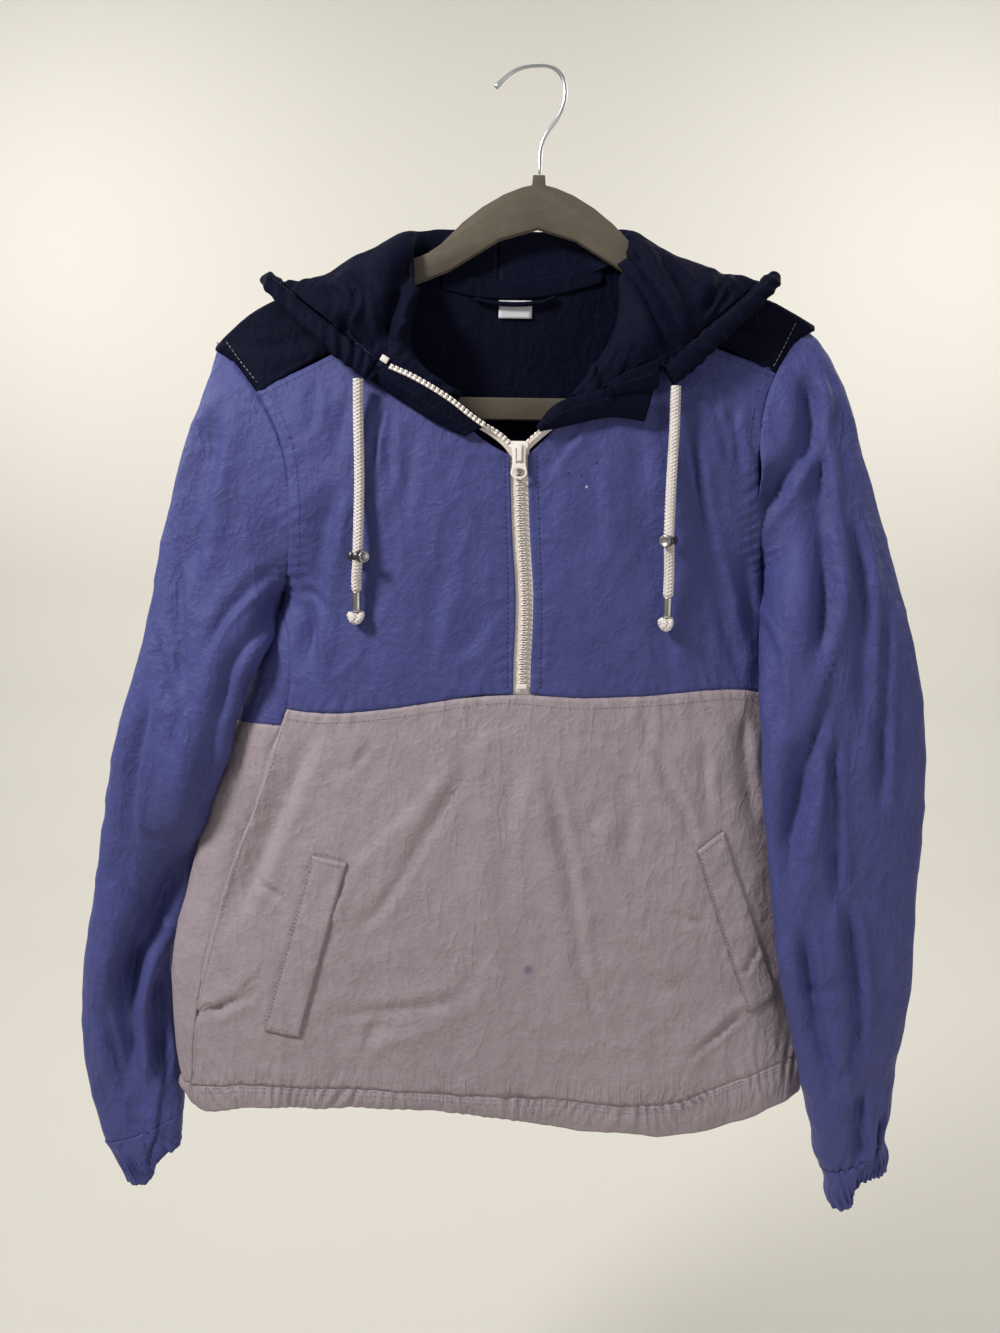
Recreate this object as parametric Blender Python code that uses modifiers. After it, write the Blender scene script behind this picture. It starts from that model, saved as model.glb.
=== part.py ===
# A half-zip windbreaker with a hood, hanging on a slim flocked hanger.
# Metres, +Z up, +X to the viewer's right, -Y to the front.
# The origin is where the hook bears: the underside of its crown.
# Tables are in millimetres and hold the sizes that shape the cloth.
import math

import bmesh
import bpy
import numpy as np
from mathutils import Matrix, Vector

MM = 0.001
WALL = 1.2  # cloth, with its seam allowance
SEAM = 0.45  # gap between two pieces at a seam, along the cloth
CLEAR = 0.3  # gap between pieces that touch
ARM_GAP = 1.1  # the sleeve's start outside the armhole's line

# hanger
ARM_THICK = 5.5
HOOK_WIRE = 3.3
HANGER_TOP = [  # x, z of the upper edge
    (0, -79), (12, -80.5), (25, -85.5), (40, -94), (54, -104.5), (62, -112.5), (70, -120), (80, -126.5),
    (120, -142.5), (160, -156.5), (182, -166)]
HANGER_UNDER = [  # x, z of the arch's under side
    (0, -107), (28, -115), (46, -126), (65, -137), (80, -142.5), (120, -158), (160, -173), (186, -183)]
BAR_TOP, BAR_UNDER = -228, -242.5
HANGER_END = 198

# the body's cross-section: the side folds and how far the cloth stands off the hanger's plane
LEFT_FOLD = [  # z, x
    (-900, -262), (-806, -275), (-785, -282), (-754, -286), (-711, -288), (-665, -286), (-640, -280), (-600, -268),
    (-554, -256), (-507, -243), (-479, -232), (-457, -222), (-421, -210), (-400, -199), (-377, -188), (-360, -198),
    (-330, -225), (-280, -250), (-200, -262), (-60, -262)]
RIGHT_FOLD = [
    (-900, 222), (-810, 228), (-785, 233), (-760, 234), (-700, 228), (-600, 218), (-520, 208), (-446, 194),
    (-410, 184), (-380, 179), (-352, 176), (-335, 184), (-310, 198), (-260, 222), (-180, 235), (-60, 235)]
RIDGE = [  # x, z of the shoulder line, where the cloth goes over the hanger
    (-300, -200), (-236, -192), (-219, -174), (-204, -163), (-185, -157), (-160, -148.5), (-120, -133.5),
    (-92, -122), (-80, -117.5), (72, -116.5), (86, -124.5), (100, -130.5), (120, -138), (160, -151), (176, -157),
    (187, -162), (204, -172), (260, -200)]
FRONT_DEPTH = [  # drop under the shoulder line, stand-off in front
    (0, 4.7), (10, 6.5), (30, 13), (60, 22), (100, 34), (150, 42), (200, 46), (300, 50), (450, 50), (560, 47),
    (640, 43), (700, 39)]
BACK_DEPTH = [(0, 4.7), (10, 5.6), (30, 7.5), (60, 9), (100, 11), (200, 14), (300, 17), (450, 19), (700, 18)]
FLATNESS_LEFT, FLATNESS_RIGHT = 3.0, 2.2  # exponents of the section's left and right half
OVER_HANGER = [(-300, 0), (-255, 4.4)]  # height, least stand-off where the hanger is inside

# seams, each as x, z or z, x points
ARMHOLE_LEFT_FRONT = [
    (-187.9, -377), (-180, -358), (-177, -327), (-178, -291), (-185, -258), (-203, -228), (-227, -199), (-236, -192)]
ARMHOLE_LEFT_BACK = [(-236, -192), (-224, -208), (-207, -245), (-197, -290), (-192, -335), (-187.9, -377)]
ARMHOLE_RIGHT_FRONT = [
    (175.9, -352), (170, -335), (166, -310), (164, -265), (167, -231), (176, -208), (194, -178), (204, -172)]
ARMHOLE_RIGHT_BACK = [(204, -172), (195, -186), (182, -225), (175, -270), (174, -315), (175.9, -352)]
SIDE_SEAM_LEFT = [  # z, x: it lies in front of the left fold
    (-830, -262), (-780, -270), (-700, -260), (-600, -232), (-505, -197), (-480, -190), (-459, -182), (-430, -178),
    (-400, -180), (-391, -182.5), (-377, -187.9)]
CHEST_SEAM = [  # x, z
    (-300, -462), (-183, -459), (-156, -461), (-114, -457), (-66, -449), (-37, -444), (-7, -443), (33, -446),
    (90, -444), (135, -440.5), (158, -440.5), (175, -444.5), (240, -451)]
BACK_CHEST_SEAM = [(-300, -473), (-178, -472), (200, -451), (240, -450)]
HEM_SEAM = [
    (-300, -778), (-262, -775), (-218, -767), (-115, -766), (-39, -771), (30, -773), (76, -780), (123, -778),
    (146, -770), (181, -759), (220, -748), (240, -745)]
HEM_EDGE = [
    (-290, -786), (-262, -797), (-244, -793), (-228, -788), (-187, -784), (-92, -782), (-51, -786), (0, -792),
    (31, -799), (77, -803), (115, -807), (148, -804), (183, -796), (218, -785), (240, -779)]
YOKE_BACK_SEAM = -300
YOKE_FRONT_LEFT = [(-203, -228), (-148, -200), (-112, -184)]
YOKE_FRONT_RIGHT = [(176, -208), (126, -190), (98, -180)]
NECK_LEFT, NECK_RIGHT = -92, 72  # where the neck meets the shoulder line
BACK_NECK = [(-92, -126), (-79, -139), (-53, -147), (-27, -150), (3, -148), (32, -142), (58, -133), (72, -118)]

# zip
CHAIN_CENTRE = [(-460, -7), (-443, -7), (-418, -7), (-396, -6), (-374, -6), (-345, -8), (-317, -10), (-262, -12)]
CHAIN_WIDTH, CHAIN_THICK = 6.0, 2.4
TAPE_WALL, TAPE_HALF, PANEL_EDGE = 1.0, 9.0, 7.2
TAPE_BEHIND = 1.6
ZIP_BOTTOM, CHAIN_TOP, SLIDER_TOP, SLIDER_LENGTH = -443, -276, -262, 16
OPEN_TAPE = [(-284, 1), (-272, 0.4)]  # height, share of the tape's width that shows past the slider
SLIDER_WIDTH, SLIDER_FOOT, SLIDER_PLATE = 12.2, 9.4, 1.5
BRIDGE_WIDTH, BRIDGE_LENGTH = 3.4, 12.4
TAB_LENGTH, TAB_WIDTH, TAB_NECK, TAB_ROD, TAB_EYE = 22, 12, 9, 1.4, (9.2, 6.2)
OPEN_LEFT = [  # x, z of the open teeth edge, from the slider to the top stop
    (-14, -268), (-18.5, -263), (-27, -256), (-41, -248), (-63, -232), (-86, -219), (-104, -211)]
OPEN_RIGHT = [(-10, -268), (-5.5, -262), (6, -252), (20, -241), (40, -231), (60, -225), (80, -221)]

# sleeves: a row for each ring, from under the armhole to the cuff
# inner edge x, y, z; outer edge x, y, z; thickness; bow towards the body
SLEEVE_LEFT = [
    (-191, -10, -384, -247, -3, -224, 50, 24), (-195.5, -18, -390, -259, -4, -265, 53, 13),
    (-199, -30, -403, -269, -6, -305, 42, 4), (-203, -40, -419, -283, -8, -363, 38, 1),
    (-217, -40, -450, -293, -9, -405, 38, 0), (-231, -40, -490, -306, -10, -450, 38, 0),
    (-252, -38, -545, -325, -10, -515, 38, 0), (-266, 9, -578, -336, -10, -560, 38, 0),
    (-273, 18, -606, -345, -8, -606, 36, 0), (-287, 20, -662, -354, -8, -662, 36, 0),
    (-292, 20, -730, -366, -8, -734, 38, 0), (-289, 15, -768, -363, -8, -772, 36, 0),
    (-286, 8, -792, -356, -8, -804, 34, 0), (-285, -2, -812, -350, -8, -836, 30, 0)]
SLEEVE_RIGHT = [
    (186, -6, -364, 217, -3, -190, 34, 16), (185, -16, -377, 231, -3, -216, 36, 11),
    (180, -27, -391, 245, -4, -262, 38, 6), (175, -35, -412, 265, -5, -320, 40, 2),
    (174, -42, -446, 283, -6, -376, 38, 0), (177, -45, -490, 302, -8, -430, 36, 0),
    (179, -46, -530, 312, -9, -490, 34, 0), (182, -47, -570, 313, -10, -550, 34, 0),
    (187, -47, -608, 310.5, -10, -606, 34, 0), (200, -46, -671, 313, -10, -671, 36, 0),
    (209, -44, -710, 312, -10, -712, 36, 0), (224, -40, -760, 303, -10, -755, 34, 0),
    (232, -36, -788, 304, -10, -788, 32, 0), (241, -30, -838, 304, -10, -820, 28, 0)]
CUFF_WAVES, CUFF_DEPTH = 12, 1.1
# inner edge at the rim, outer edge at the rim, thickness, where the rim steps up (share of its width), step
CUFF_LEFT = ((-286, -6, -856), (-335, -8, -864), 26, 0.47, 28)
CUFF_RIGHT = ((256, -28, -858), (309, -10, -870), 25, 0.5, -24)

# hem
HEM_WAVES, HEM_WAVE_DEPTH, HEM_BULGE = 28, 1.0, 2.2

# hood: its seam on the neck, x, z from the centre back to the zip
HOOD_NECK_LEFT = [
    (-12, -147.3), (-73, -138.4), (-89.8, -126.5), (-89.8, -120.6), (-93.6, -134), (-102.8, -163), (-109.2, -192),
    (-97, -217), (-61.5, -237)]
HOOD_NECK_RIGHT = [
    (-12, -147.3), (46, -135), (69.6, -120.5), (69.6, -114), (75.6, -134), (87.6, -163), (94, -192),
    (82.8, -217), (51, -225)]
# left half: each row runs on from the neck seam over the crest to the rim
HOOD_SECTIONS = [
    ("centre back", (-12, 10, -126), (-12, 15, -104), (-12, 20, -113), (-12, 20.5, -240), (-12, 21, -378),
     (-12, 27.5, -380), (-12, 29, -330), (-12, 30, -268)),
    ("beside the neck", (-71, 9, -124), (-70, 12.5, -103), (-77, 18, -112), (-84, 19.5, -225), (-88, 20.5, -360),
     (-88.5, 27, -362), (-89, 28.5, -312), (-90, 30, -255)),
    ("shoulder, back", (-86, 6, -118), (-84, 9, -106), (-93, 15, -113), (-108, 18, -205), (-114, 19.5, -335),
     (-115, 26, -337), (-117, 27.5, -290), (-119, 29, -240)),
    ("shoulder, top", (-91, -4, -112.5), (-96, 2, -109), (-109, 11, -117), (-131, 18, -185), (-139, 19.5, -300),
     (-140.5, 26, -302), (-143, 28.5, -262), (-147, 31, -222)),
    ("turn", (-87, -16, -150), (-105, -19, -135), (-127, -9, -127), (-147, 5, -135), (-158, 14, -150),
     (-165, 18.5, -156), (-171, 22.5, -160), (-178, 27, -163)),
    ("rolled end", (-90, -27, -176), (-106, -33, -165), (-123, -26, -152), (-141, -18, -145.5), (-152, -14, -144),
     (-162, -11, -144), (-175, -10, -144.5), (-189, -9, -146)),
    ("front casing", (-88, -35, -200), (-99, -41, -190), (-108, -41, -185), (-116, -39.5, -182), (-122, -38.5, -181),
     (-128, -37, -181), (-135, -35.5, -181.5), (-142, -34, -183)),
    ("cord exit", (-80, -39, -213), (-88, -42.5, -206.5), (-93, -42.5, -204.5), (-98, -42, -204), (-102, -41.5, -204),
     (-106, -41, -204.5), (-109.5, -40.5, -204.5), (-112, -40, -204.5)),
    ("front end", (-54, -43, -231), (-55.5, -46, -229), (-57, -46.5, -228.8), (-58.5, -46.5, -229),
     (-60, -46, -229.3), (-62, -46, -229), (-64, -45.5, -228.5), (-66, -45, -228))]
HOOD_ON_BACK = 3  # the first sections start on the back of the neck, the next on its top
HOOD_CENTRE = -12
HOOD_SEAM = -28
HOOD_RIGHT_PULL = [(-240, 6), (-220, 12), (-205, 19), (-188, 17), (-168, 9), (-145, 4), (-120, 0)]  # height, inward
HOOD_PULLED = (0, 1, 0.7, 0.3, 0, 0, 0, 0, 0)  # how much each point of a row is pulled
HOOD_RIGHT_LIFT = [(50, 0), (62, 3.5), (68, 3), (82, -2), (105, 1), (130, 6), (155, 7), (181, 3)]  # x, up
HOOD_OFF_YOKE = 2.2  # least gap between the hood and the shoulders
HOOD_ROLL = 9.0  # its least radius over the shoulder line
CASING_WIDTH, CASING_THICK = 16, 6
CASING_ROUND = 0.56  # share of the way where it turns over the shoulder and is round
CASING_END = 0.875  # share of the hood's rim that has a casing
# which way the casing lies from the rim, for each section
CASING_OUT = [(0, 0, 1), (0.1, 0, 1), (0.35, 0.1, 0.9), (0.5, 0.4, 0.75), (-0.5, 0.65, 0.5), (-1, 0, 0.15),
              (-0.7, -0.1, -0.7), (-0.55, -0.1, -0.83), (-0.5, 0, -0.85)]

# collar bands: upper rail x, z (the teeth edge) and lower rail x, z
BAND_LEFT_TOP = [(-103, -209), (-88, -217), (-64, -230), (-43, -245), (-36, -251)]
BAND_LEFT_LOW = [(-117, -220), (-108, -226), (-90, -237), (-72, -248), (-50, -258)]
BAND_RIGHT_TOP = [(50, -222), (60, -216), (72, -211), (84, -206)]
BAND_RIGHT_LOW = [(50, -230), (62, -227), (74, -226), (84, -224)]
GUARD_TOP = [(1, -252), (12, -238), (28, -231), (52, -226), (82, -221)]
GUARD_LOW = [(3, -254), (14, -252), (34, -247), (56, -243), (76, -246)]

# drawcords and what is on them: x, y, z
CORD_WIDTH = 7.0
CORD_LEFT = [(-126, -42, -220.4), (-126, -43, -245), (-125, -47, -290), (-125.5, -54, -339)]
CORD_RIGHT = [(98, -42, -222.3), (98, -44, -250), (96.5, -49, -290), (95.5, -54, -325)]
LOCK_LEFT = (-125.5, -54.5, -344)
LOCK_RIGHT = (95.5, -54.5, -330)
LOCK_WIDTH, LOCK_LENGTH, LOCK_BORE, LOCK_TURN_LEFT, LOCK_TURN_RIGHT = 8.6, 12.0, 6.2, 42, -30
PLUNGER_HEAD, PLUNGER_STEM, PLUNGER_GAP = 2.6, 5.6, 2.4
FERRULE_WIDTH, FERRULE_LENGTH = 5.8, 13.6
TAIL_LEFT = [(-126, -54, -349), (-127, -52.5, -359), (-127, -52, -369)]
TAIL_RIGHT = [(96, -54, -335), (97, -52.5, -353), (97, -52, -370)]
KNOT_LEFT, KNOT_RIGHT, KNOT_SHIFT = (14, 9, 10), (11.5, 9, 11), 0.08

# pocket welts: corners x, z of the upper edge and the lower edge
WELT_LEFT = ((-162, -571), (-138, -576), (-203, -715), (-177, -719))
WELT_RIGHT = ((130, -564), (149, -551), (179, -700), (200, -688))

NAVY = (0.008, 0.009, 0.026)
PERIWINKLE = (0.105, 0.115, 0.33)
LILAC = (0.31, 0.27, 0.30)
WHITE = (0.66, 0.58, 0.52)
FLOCK = (0.12, 0.105, 0.075)
STEEL = (0.55, 0.56, 0.57)


def material(name, colour, roughness=0.6, metallic=0.0):
    made = bpy.data.materials.get(name)
    if made:
        return made
    made = bpy.data.materials.new(name)
    made.use_nodes = True
    shader = made.node_tree.nodes["Principled BSDF"]
    shader.inputs["Base Color"].default_value = (*colour, 1)
    shader.inputs["Roughness"].default_value = roughness
    shader.inputs["Metallic"].default_value = metallic
    return made


def navy():
    return material("navy cloth", NAVY)


def periwinkle():
    return material("periwinkle cloth", PERIWINKLE)


def lilac():
    return material("lilac cloth", LILAC)


def white():
    return material("white moulding", WHITE, 0.45)


def steel():
    return material("bright steel", STEEL, 0.3, 1.0)


def smooth(table, at):
    # a smooth function through a two-column table, without overshoot
    rows = sorted(table)
    xs = [row[0] for row in rows]
    ys = [row[1] for row in rows]
    if at <= xs[0]:
        return ys[0]
    if at >= xs[-1]:
        return ys[-1]
    i = int(np.searchsorted(xs, at)) - 1
    rise = [(ys[k + 1] - ys[k]) / (xs[k + 1] - xs[k]) for k in range(len(xs) - 1)]

    def slope(k):
        if k == 0 or k == len(xs) - 1:
            return rise[min(k, len(rise) - 1)]
        a, b = rise[k - 1], rise[k]
        return 0.0 if a * b <= 0 else 2 * a * b / (a + b)

    step = xs[i + 1] - xs[i]
    u = (at - xs[i]) / step
    return (ys[i] * (1 + 2 * u) * (1 - u) ** 2 + step * slope(i) * u * (1 - u) ** 2
            + ys[i + 1] * u * u * (3 - 2 * u) + step * slope(i + 1) * u * u * (u - 1))


def along(points, share):
    # a smooth path through points, by its share of the way; no coordinate overshoots
    p = np.array(points, float)
    at = min(max(share, 0.0), 1.0) * (len(p) - 1)
    i = min(int(at), len(p) - 2)
    u = at - i

    def rise(k):
        length = max(float(np.linalg.norm(p[k] - p[k - 1])), 0.01)
        return (p[k] - p[k - 1]) / length, length

    def slope(k):
        if k == 0 or k == len(p) - 1:
            return rise(max(k, 1))[0]
        before, after = rise(k)[0], rise(k + 1)[0]
        same = before * after > 0
        return np.where(same, 2 * before * after / np.where(same, before + after, 1), 0)
    step = rise(i + 1)[1]
    return (p[i] * (1 + 2 * u) * (1 - u) ** 2 + step * slope(i) * u * (1 - u) ** 2
            + p[i + 1] * u * u * (3 - 2 * u) + step * slope(i + 1) * u * u * (u - 1))


def even(points, share, steps=60):
    # the same path, by its share of the length
    path = np.array([along(points, k / steps) for k in range(steps + 1)])
    run = np.concatenate([[0], np.cumsum(np.linalg.norm(np.diff(path, axis=0), axis=1))])
    at = min(max(share, 0.0), 1.0) * run[-1]
    return np.array([np.interp(at, run, path[:, axis]) for axis in range(path.shape[1])])


def mix(a, b, share):
    return a + (b - a) * share


# --- the body as a flattened tube ---

def folds(z):
    left, right = smooth(LEFT_FOLD, z), smooth(RIGHT_FOLD, z)
    return (left + right) / 2, (right - left) / 2


def flatness(q, front=True):
    return FLATNESS_RIGHT if q > 0 and front else FLATNESS_LEFT


def depth(x, z, front=True):
    # how far the cloth stands off the hanger's plane at x, z
    centre, half = folds(z)
    q = min(max((x - centre) / half, -1.0), 1.0)
    n = flatness(q, front)
    drop = max(smooth(RIDGE, x) - z, 0.0)
    reach = smooth(FRONT_DEPTH if front else BACK_DEPTH, drop)
    return max(reach * (1 - abs(q) ** n) ** (1 / n), smooth(OVER_HANGER, z))


def on_front(x, z, out=0.0):
    return Vector((x, -depth(x, z) - out, z))


def on_back(x, z, out=0.0):
    return Vector((x, depth(x, z, False) + out, z))


def angle_at(x, z, front=True):
    # 0 at the left fold, pi at the right fold, on to two pi round the back
    centre, half = folds(z)
    q = min(max((x - centre) / half, -1.0), 1.0)
    turn = math.acos(min(1.0, abs(q) ** (flatness(q, front) / 2)))
    turn = turn if q <= 0 else math.pi - turn
    return turn if front else 2 * math.pi - turn


def x_at(angle, z):
    centre, half = folds(z)
    c = math.cos(angle)
    front = math.sin(angle) >= 0
    return centre - half * math.copysign(abs(c) ** (2 / flatness(-c, front)), c)


def on_body(angle, z, out=0.0):
    x = x_at(angle, z)
    front = math.sin(angle) >= 0
    y = -depth(x, z) if front else depth(x, z, False)
    return Vector((x - out * math.cos(angle), y - out * math.sin(angle), z))


# --- building ---

def keep(mesh_object, look, collection="windbreaker"):
    group = bpy.data.collections.get(collection)
    if not group:
        group = bpy.data.collections.new(collection)
        bpy.context.scene.collection.children.link(group)
    group.objects.link(mesh_object)
    if look:
        mesh_object.data.materials.append(look)
    return mesh_object


def grid(surface, columns, rows, closed=False):
    sheet = bmesh.new()
    bmesh.ops.create_grid(sheet, x_segments=columns, y_segments=rows, size=0.5)
    for vert in sheet.verts:
        vert.co = Vector(surface(vert.co.x + 0.5, vert.co.y + 0.5)) * MM
    if closed:
        bmesh.ops.remove_doubles(sheet, verts=sheet.verts, dist=0.00001)
    return sheet


def finish(name, sheet, look, wall=WALL):
    bmesh.ops.recalc_face_normals(sheet, faces=sheet.faces)
    mesh = bpy.data.meshes.new(name)
    sheet.to_mesh(mesh)
    sheet.free()
    made = keep(bpy.data.objects.new(name, mesh), look)
    if wall:
        shell = made.modifiers.new("wall", "SOLIDIFY")
        shell.thickness = wall * MM
        shell.offset = 0
    mesh.shade_smooth()
    return made


def cloth(name, surface, columns, rows, look, wall=WALL, closed=False):
    return finish(name, grid(surface, columns, rows, closed), look, wall)


def patch(bottom, top, left, right):
    # a sheet between four edges that meet at its corners
    def at(s, t):
        off_left = left(t) - mix(bottom(0), top(0), t)
        off_right = right(t) - mix(bottom(1), top(1), t)
        return mix(bottom(s), top(s), t) + off_left * (1 - s) ** 3 + off_right * s ** 3
    return at


def box(name, size, place, look=None, collection="windbreaker"):
    made = bmesh.new()
    bmesh.ops.create_cube(made, size=1)
    for vert in made.verts:
        vert.co = Vector(vert.co[i] * size[i] * MM for i in range(3))
    mesh = bpy.data.meshes.new(name)
    made.to_mesh(mesh)
    made.free()
    thing = keep(bpy.data.objects.new(name, mesh), look, collection)
    thing.location = Vector(place) * MM
    return thing


def rod(name, radius, length, place, look=None, sides=16, turn=(0, 0, 0), collection="windbreaker"):
    made = bmesh.new()
    bmesh.ops.create_cone(made, cap_ends=True, segments=sides, radius1=radius * MM, radius2=radius * MM,
                          depth=length * MM)
    mesh = bpy.data.meshes.new(name)
    made.to_mesh(mesh)
    made.free()
    thing = keep(bpy.data.objects.new(name, mesh), look, collection)
    thing.location = Vector(place) * MM
    thing.rotation_euler = turn
    return thing


def cutter(thing):
    thing.hide_render = True
    thing.display_type = "WIRE"
    return thing


def boolean(thing, other, operation):
    step = thing.modifiers.new(operation.lower(), "BOOLEAN")
    step.operation = operation
    step.object = other
    cutter(other)


def cord(name, route, width, points, look, swell=None):
    curve = bpy.data.curves.new(name, "CURVE")
    curve.dimensions = "3D"
    curve.bevel_depth = width / 2 * MM
    curve.bevel_resolution = 2
    curve.use_fill_caps = True
    line = curve.splines.new("POLY")
    line.points.add(points - 1)
    for k in range(points):
        share = k / (points - 1)
        line.points[k].co = (*(Vector(even(route, share)) * MM), 1)
        line.points[k].radius = swell(share) if swell else 1
    made = keep(bpy.data.objects.new(name, curve), look)
    return made


# --- hanger ---

def hanger():
    outline = bpy.data.curves.new("hanger_body", "CURVE")
    outline.dimensions = "2D"
    outline.fill_mode = "BOTH"
    outline.extrude = ARM_THICK / 2 * MM - 0.0008
    outline.bevel_depth = 0.0008
    outline.bevel_resolution = 1
    nub = [(-4.2, -78.8), (-3.6, -72), (3.6, -72), (4.2, -78.8)]
    top = [(x, z) for x, z in HANGER_TOP[1:]]
    end = [(HANGER_END - 5, -172), (HANGER_END, -184), (HANGER_END, -222), (HANGER_END - 6, -237),
           (HANGER_END - 18, BAR_UNDER)]
    half = top + end
    ring = nub + half + [(-x, z) for x, z in reversed(half)]
    under = [(x, z) for x, z in HANGER_UNDER]
    hole_end = [(HANGER_END - 13, -190), (HANGER_END - 12, -220), (HANGER_END - 20, BAR_TOP)]
    half_hole = under + hole_end
    hole = half_hole + [(-x, z) for x, z in reversed(half_hole) if x > 0]
    for loop in (ring, hole):
        line = outline.splines.new("POLY")
        line.points.add(len(loop) - 1)
        line.use_cyclic_u = True
        for point, (x, z) in zip(line.points, loop):
            point.co = (x * MM, z * MM, 0, 1)
    made = keep(bpy.data.objects.new("hanger_body", outline), material("flocked plastic", FLOCK, 0.95))
    made.rotation_euler = (math.pi / 2, 0, 0)


def hook():
    radius = HOOK_WIRE / 2
    route = [(0.5, 0, -70.6), (0.5, 0, -56), (3.5, 0, -45), (14.5, 0, -29), (18, 0, -16), (15, 0, -4),
             (4, 0, radius + 0.8), (-8, 0, radius + 0.4), (-20, 0, -2), (-28, 0, -8.5), (-32.5, 0, -13)]
    cord("hanger_hook", route, HOOK_WIRE, 26, steel(), lambda share: 1.7 if share > 0.98 else 1)


# --- body panels ---

def front_top_left():
    corner = ARMHOLE_LEFT_FRONT[5]
    rise = ARMHOLE_LEFT_FRONT[:6]
    edge = PANEL_EDGE
    pit = 1 / 3  # the share of the rows below the armhole

    def left(t):
        side = [(smooth(SIDE_SEAM_LEFT, z), z) for z in (-459, -440, -415, -391, -377)]
        side[0] = (side[0][0], smooth(CHEST_SEAM, side[0][0]))
        x, z = even(side, t / pit) if t < pit else even(rise, (t - pit) / (1 - pit))
        return np.array((x + SEAM, z))

    def right(t):
        z = mix(ZIP_BOTTOM, -272, t)
        return np.array((smooth(CHAIN_CENTRE, z) - edge, z))

    def top(s):
        corner = (-114, -184 - 2 * SEAM)
        shoulder = [left(1), (-148, -200 - 2 * SEAM), corner]
        neck = [corner, (-106, -214), (-88, -224), (-66, -238), (-46, -255), (-31, -267), right(1)]
        return even(shoulder, s * 3) if s < 1 / 3 else even(neck, (s - 1 / 3) * 1.5)

    def bottom(s):
        x = mix(left(0)[0], right(0)[0], s)
        return np.array((x, mix(left(0)[1], right(0)[1], s) if s in (0, 1) else smooth(CHEST_SEAM, x)))
    flat = patch(bottom, top, left, right)
    cloth("front_upper_left", lambda s, t: on_front(*flat(s, t)) + Vector((0, 0, SEAM * (1 - t))), 12, 12,
          periwinkle())


def front_top_right():
    rise = ARMHOLE_RIGHT_FRONT[:6]

    def right(t):
        side = [(x_at(math.pi, z) - 0.6, z) for z in (-440, -415, -391, -370)]
        start = x_at(math.pi, -449) - 0.6
        x, z = even([(start, smooth(CHEST_SEAM, start))] + side + rise, t)
        return np.array((x - SEAM, z))

    def left(t):
        z = mix(ZIP_BOTTOM, -272, t)
        return np.array((smooth(CHAIN_CENTRE, z) + PANEL_EDGE, z))

    def top(s):
        corner = (100, -180 - 2 * SEAM)
        neck = [left(1), (10, -258), (24, -242), (50, -228), (80, -222), (92, -206), corner]
        shoulder = [corner, (126, -190 - 2 * SEAM), right(1)]
        return even(neck, s * 1.5) if s < 2 / 3 else even(shoulder, (s - 2 / 3) * 3)

    def bottom(s):
        x = mix(left(0)[0], right(0)[0], 1 - (1 - s) ** 1.35)
        return np.array((x, mix(left(0)[1], right(0)[1], s) if s in (0, 1) else smooth(CHEST_SEAM, x)))
    flat = patch(bottom, top, left, right)
    cloth("front_upper_right", lambda s, t: on_front(*flat(s, t)) + Vector((0, 0, 2 * SEAM * (1 - t))), 12, 12,
          periwinkle())


def hem_height(x, front, edge):
    table = HEM_EDGE if edge else HEM_SEAM
    if front:
        return smooth(table, x)
    return mix(smooth(table, -290), smooth(table, 240), min(max((x + 282) / 515, 0), 1))


def chest_height(x, front):
    return smooth(CHEST_SEAM if front else BACK_CHEST_SEAM, x)


def lower_panel(name, start, end, front, columns, rows):
    def surface(s, t):
        z = -620
        for _ in range(4):
            angle = mix(start(z), end(z), s)
            x = x_at(angle, z)
            on_side = math.sin(angle) >= 0
            z = mix(chest_height(x, front) - SEAM, hem_height(x, on_side, False) + SEAM, t)
        return on_body(angle, z)
    cloth(name, surface, columns, rows, lilac())


def side_angle(z):
    return angle_at(smooth(SIDE_SEAM_LEFT, z), z)


def gap_angle(z):
    # the seam gap as an angle near the side seam
    centre, half = folds(z)
    return SEAM / half * 1.6


def fronts_and_backs():
    front_top_left()
    front_top_right()
    lower_panel("front_lower", lambda z: side_angle(z) + gap_angle(z), lambda z: math.pi - 0.02, True, 20, 11)
    lower_panel("back_lower", lambda z: math.pi + 0.02, lambda z: 2 * math.pi + side_angle(z) - gap_angle(z), False,
                20, 11)
    back_top()


def back_top():
    def left_end(z):
        if z > ARMHOLE_LEFT_BACK[-1][1]:
            x = smooth([(q, p) for p, q in ARMHOLE_LEFT_BACK], z) + SEAM
            return angle_at(x, z, False)
        return 2 * math.pi + side_angle(z) - gap_angle(z)

    def right_end(z):
        if z > ARMHOLE_RIGHT_BACK[-1][1]:
            x = smooth([(q, p) for p, q in ARMHOLE_RIGHT_BACK], z) - SEAM
            return angle_at(x, z, False)
        return math.pi + 0.02

    pit = ARMHOLE_LEFT_BACK[-1][1]

    def surface(s, t):
        z = mix(YOKE_BACK_SEAM, -460, t)
        for _ in range(4):
            angle = mix(right_end(z), left_end(z), s)
            x = x_at(angle, z)
            if t < 0.5:
                z = mix(YOKE_BACK_SEAM - SEAM, pit, 2 * t)
            else:
                z = mix(pit, chest_height(x, False) + SEAM, 2 * t - 1)
        return on_body(angle, z)
    cloth("back_upper", surface, 18, 10, periwinkle())


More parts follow.
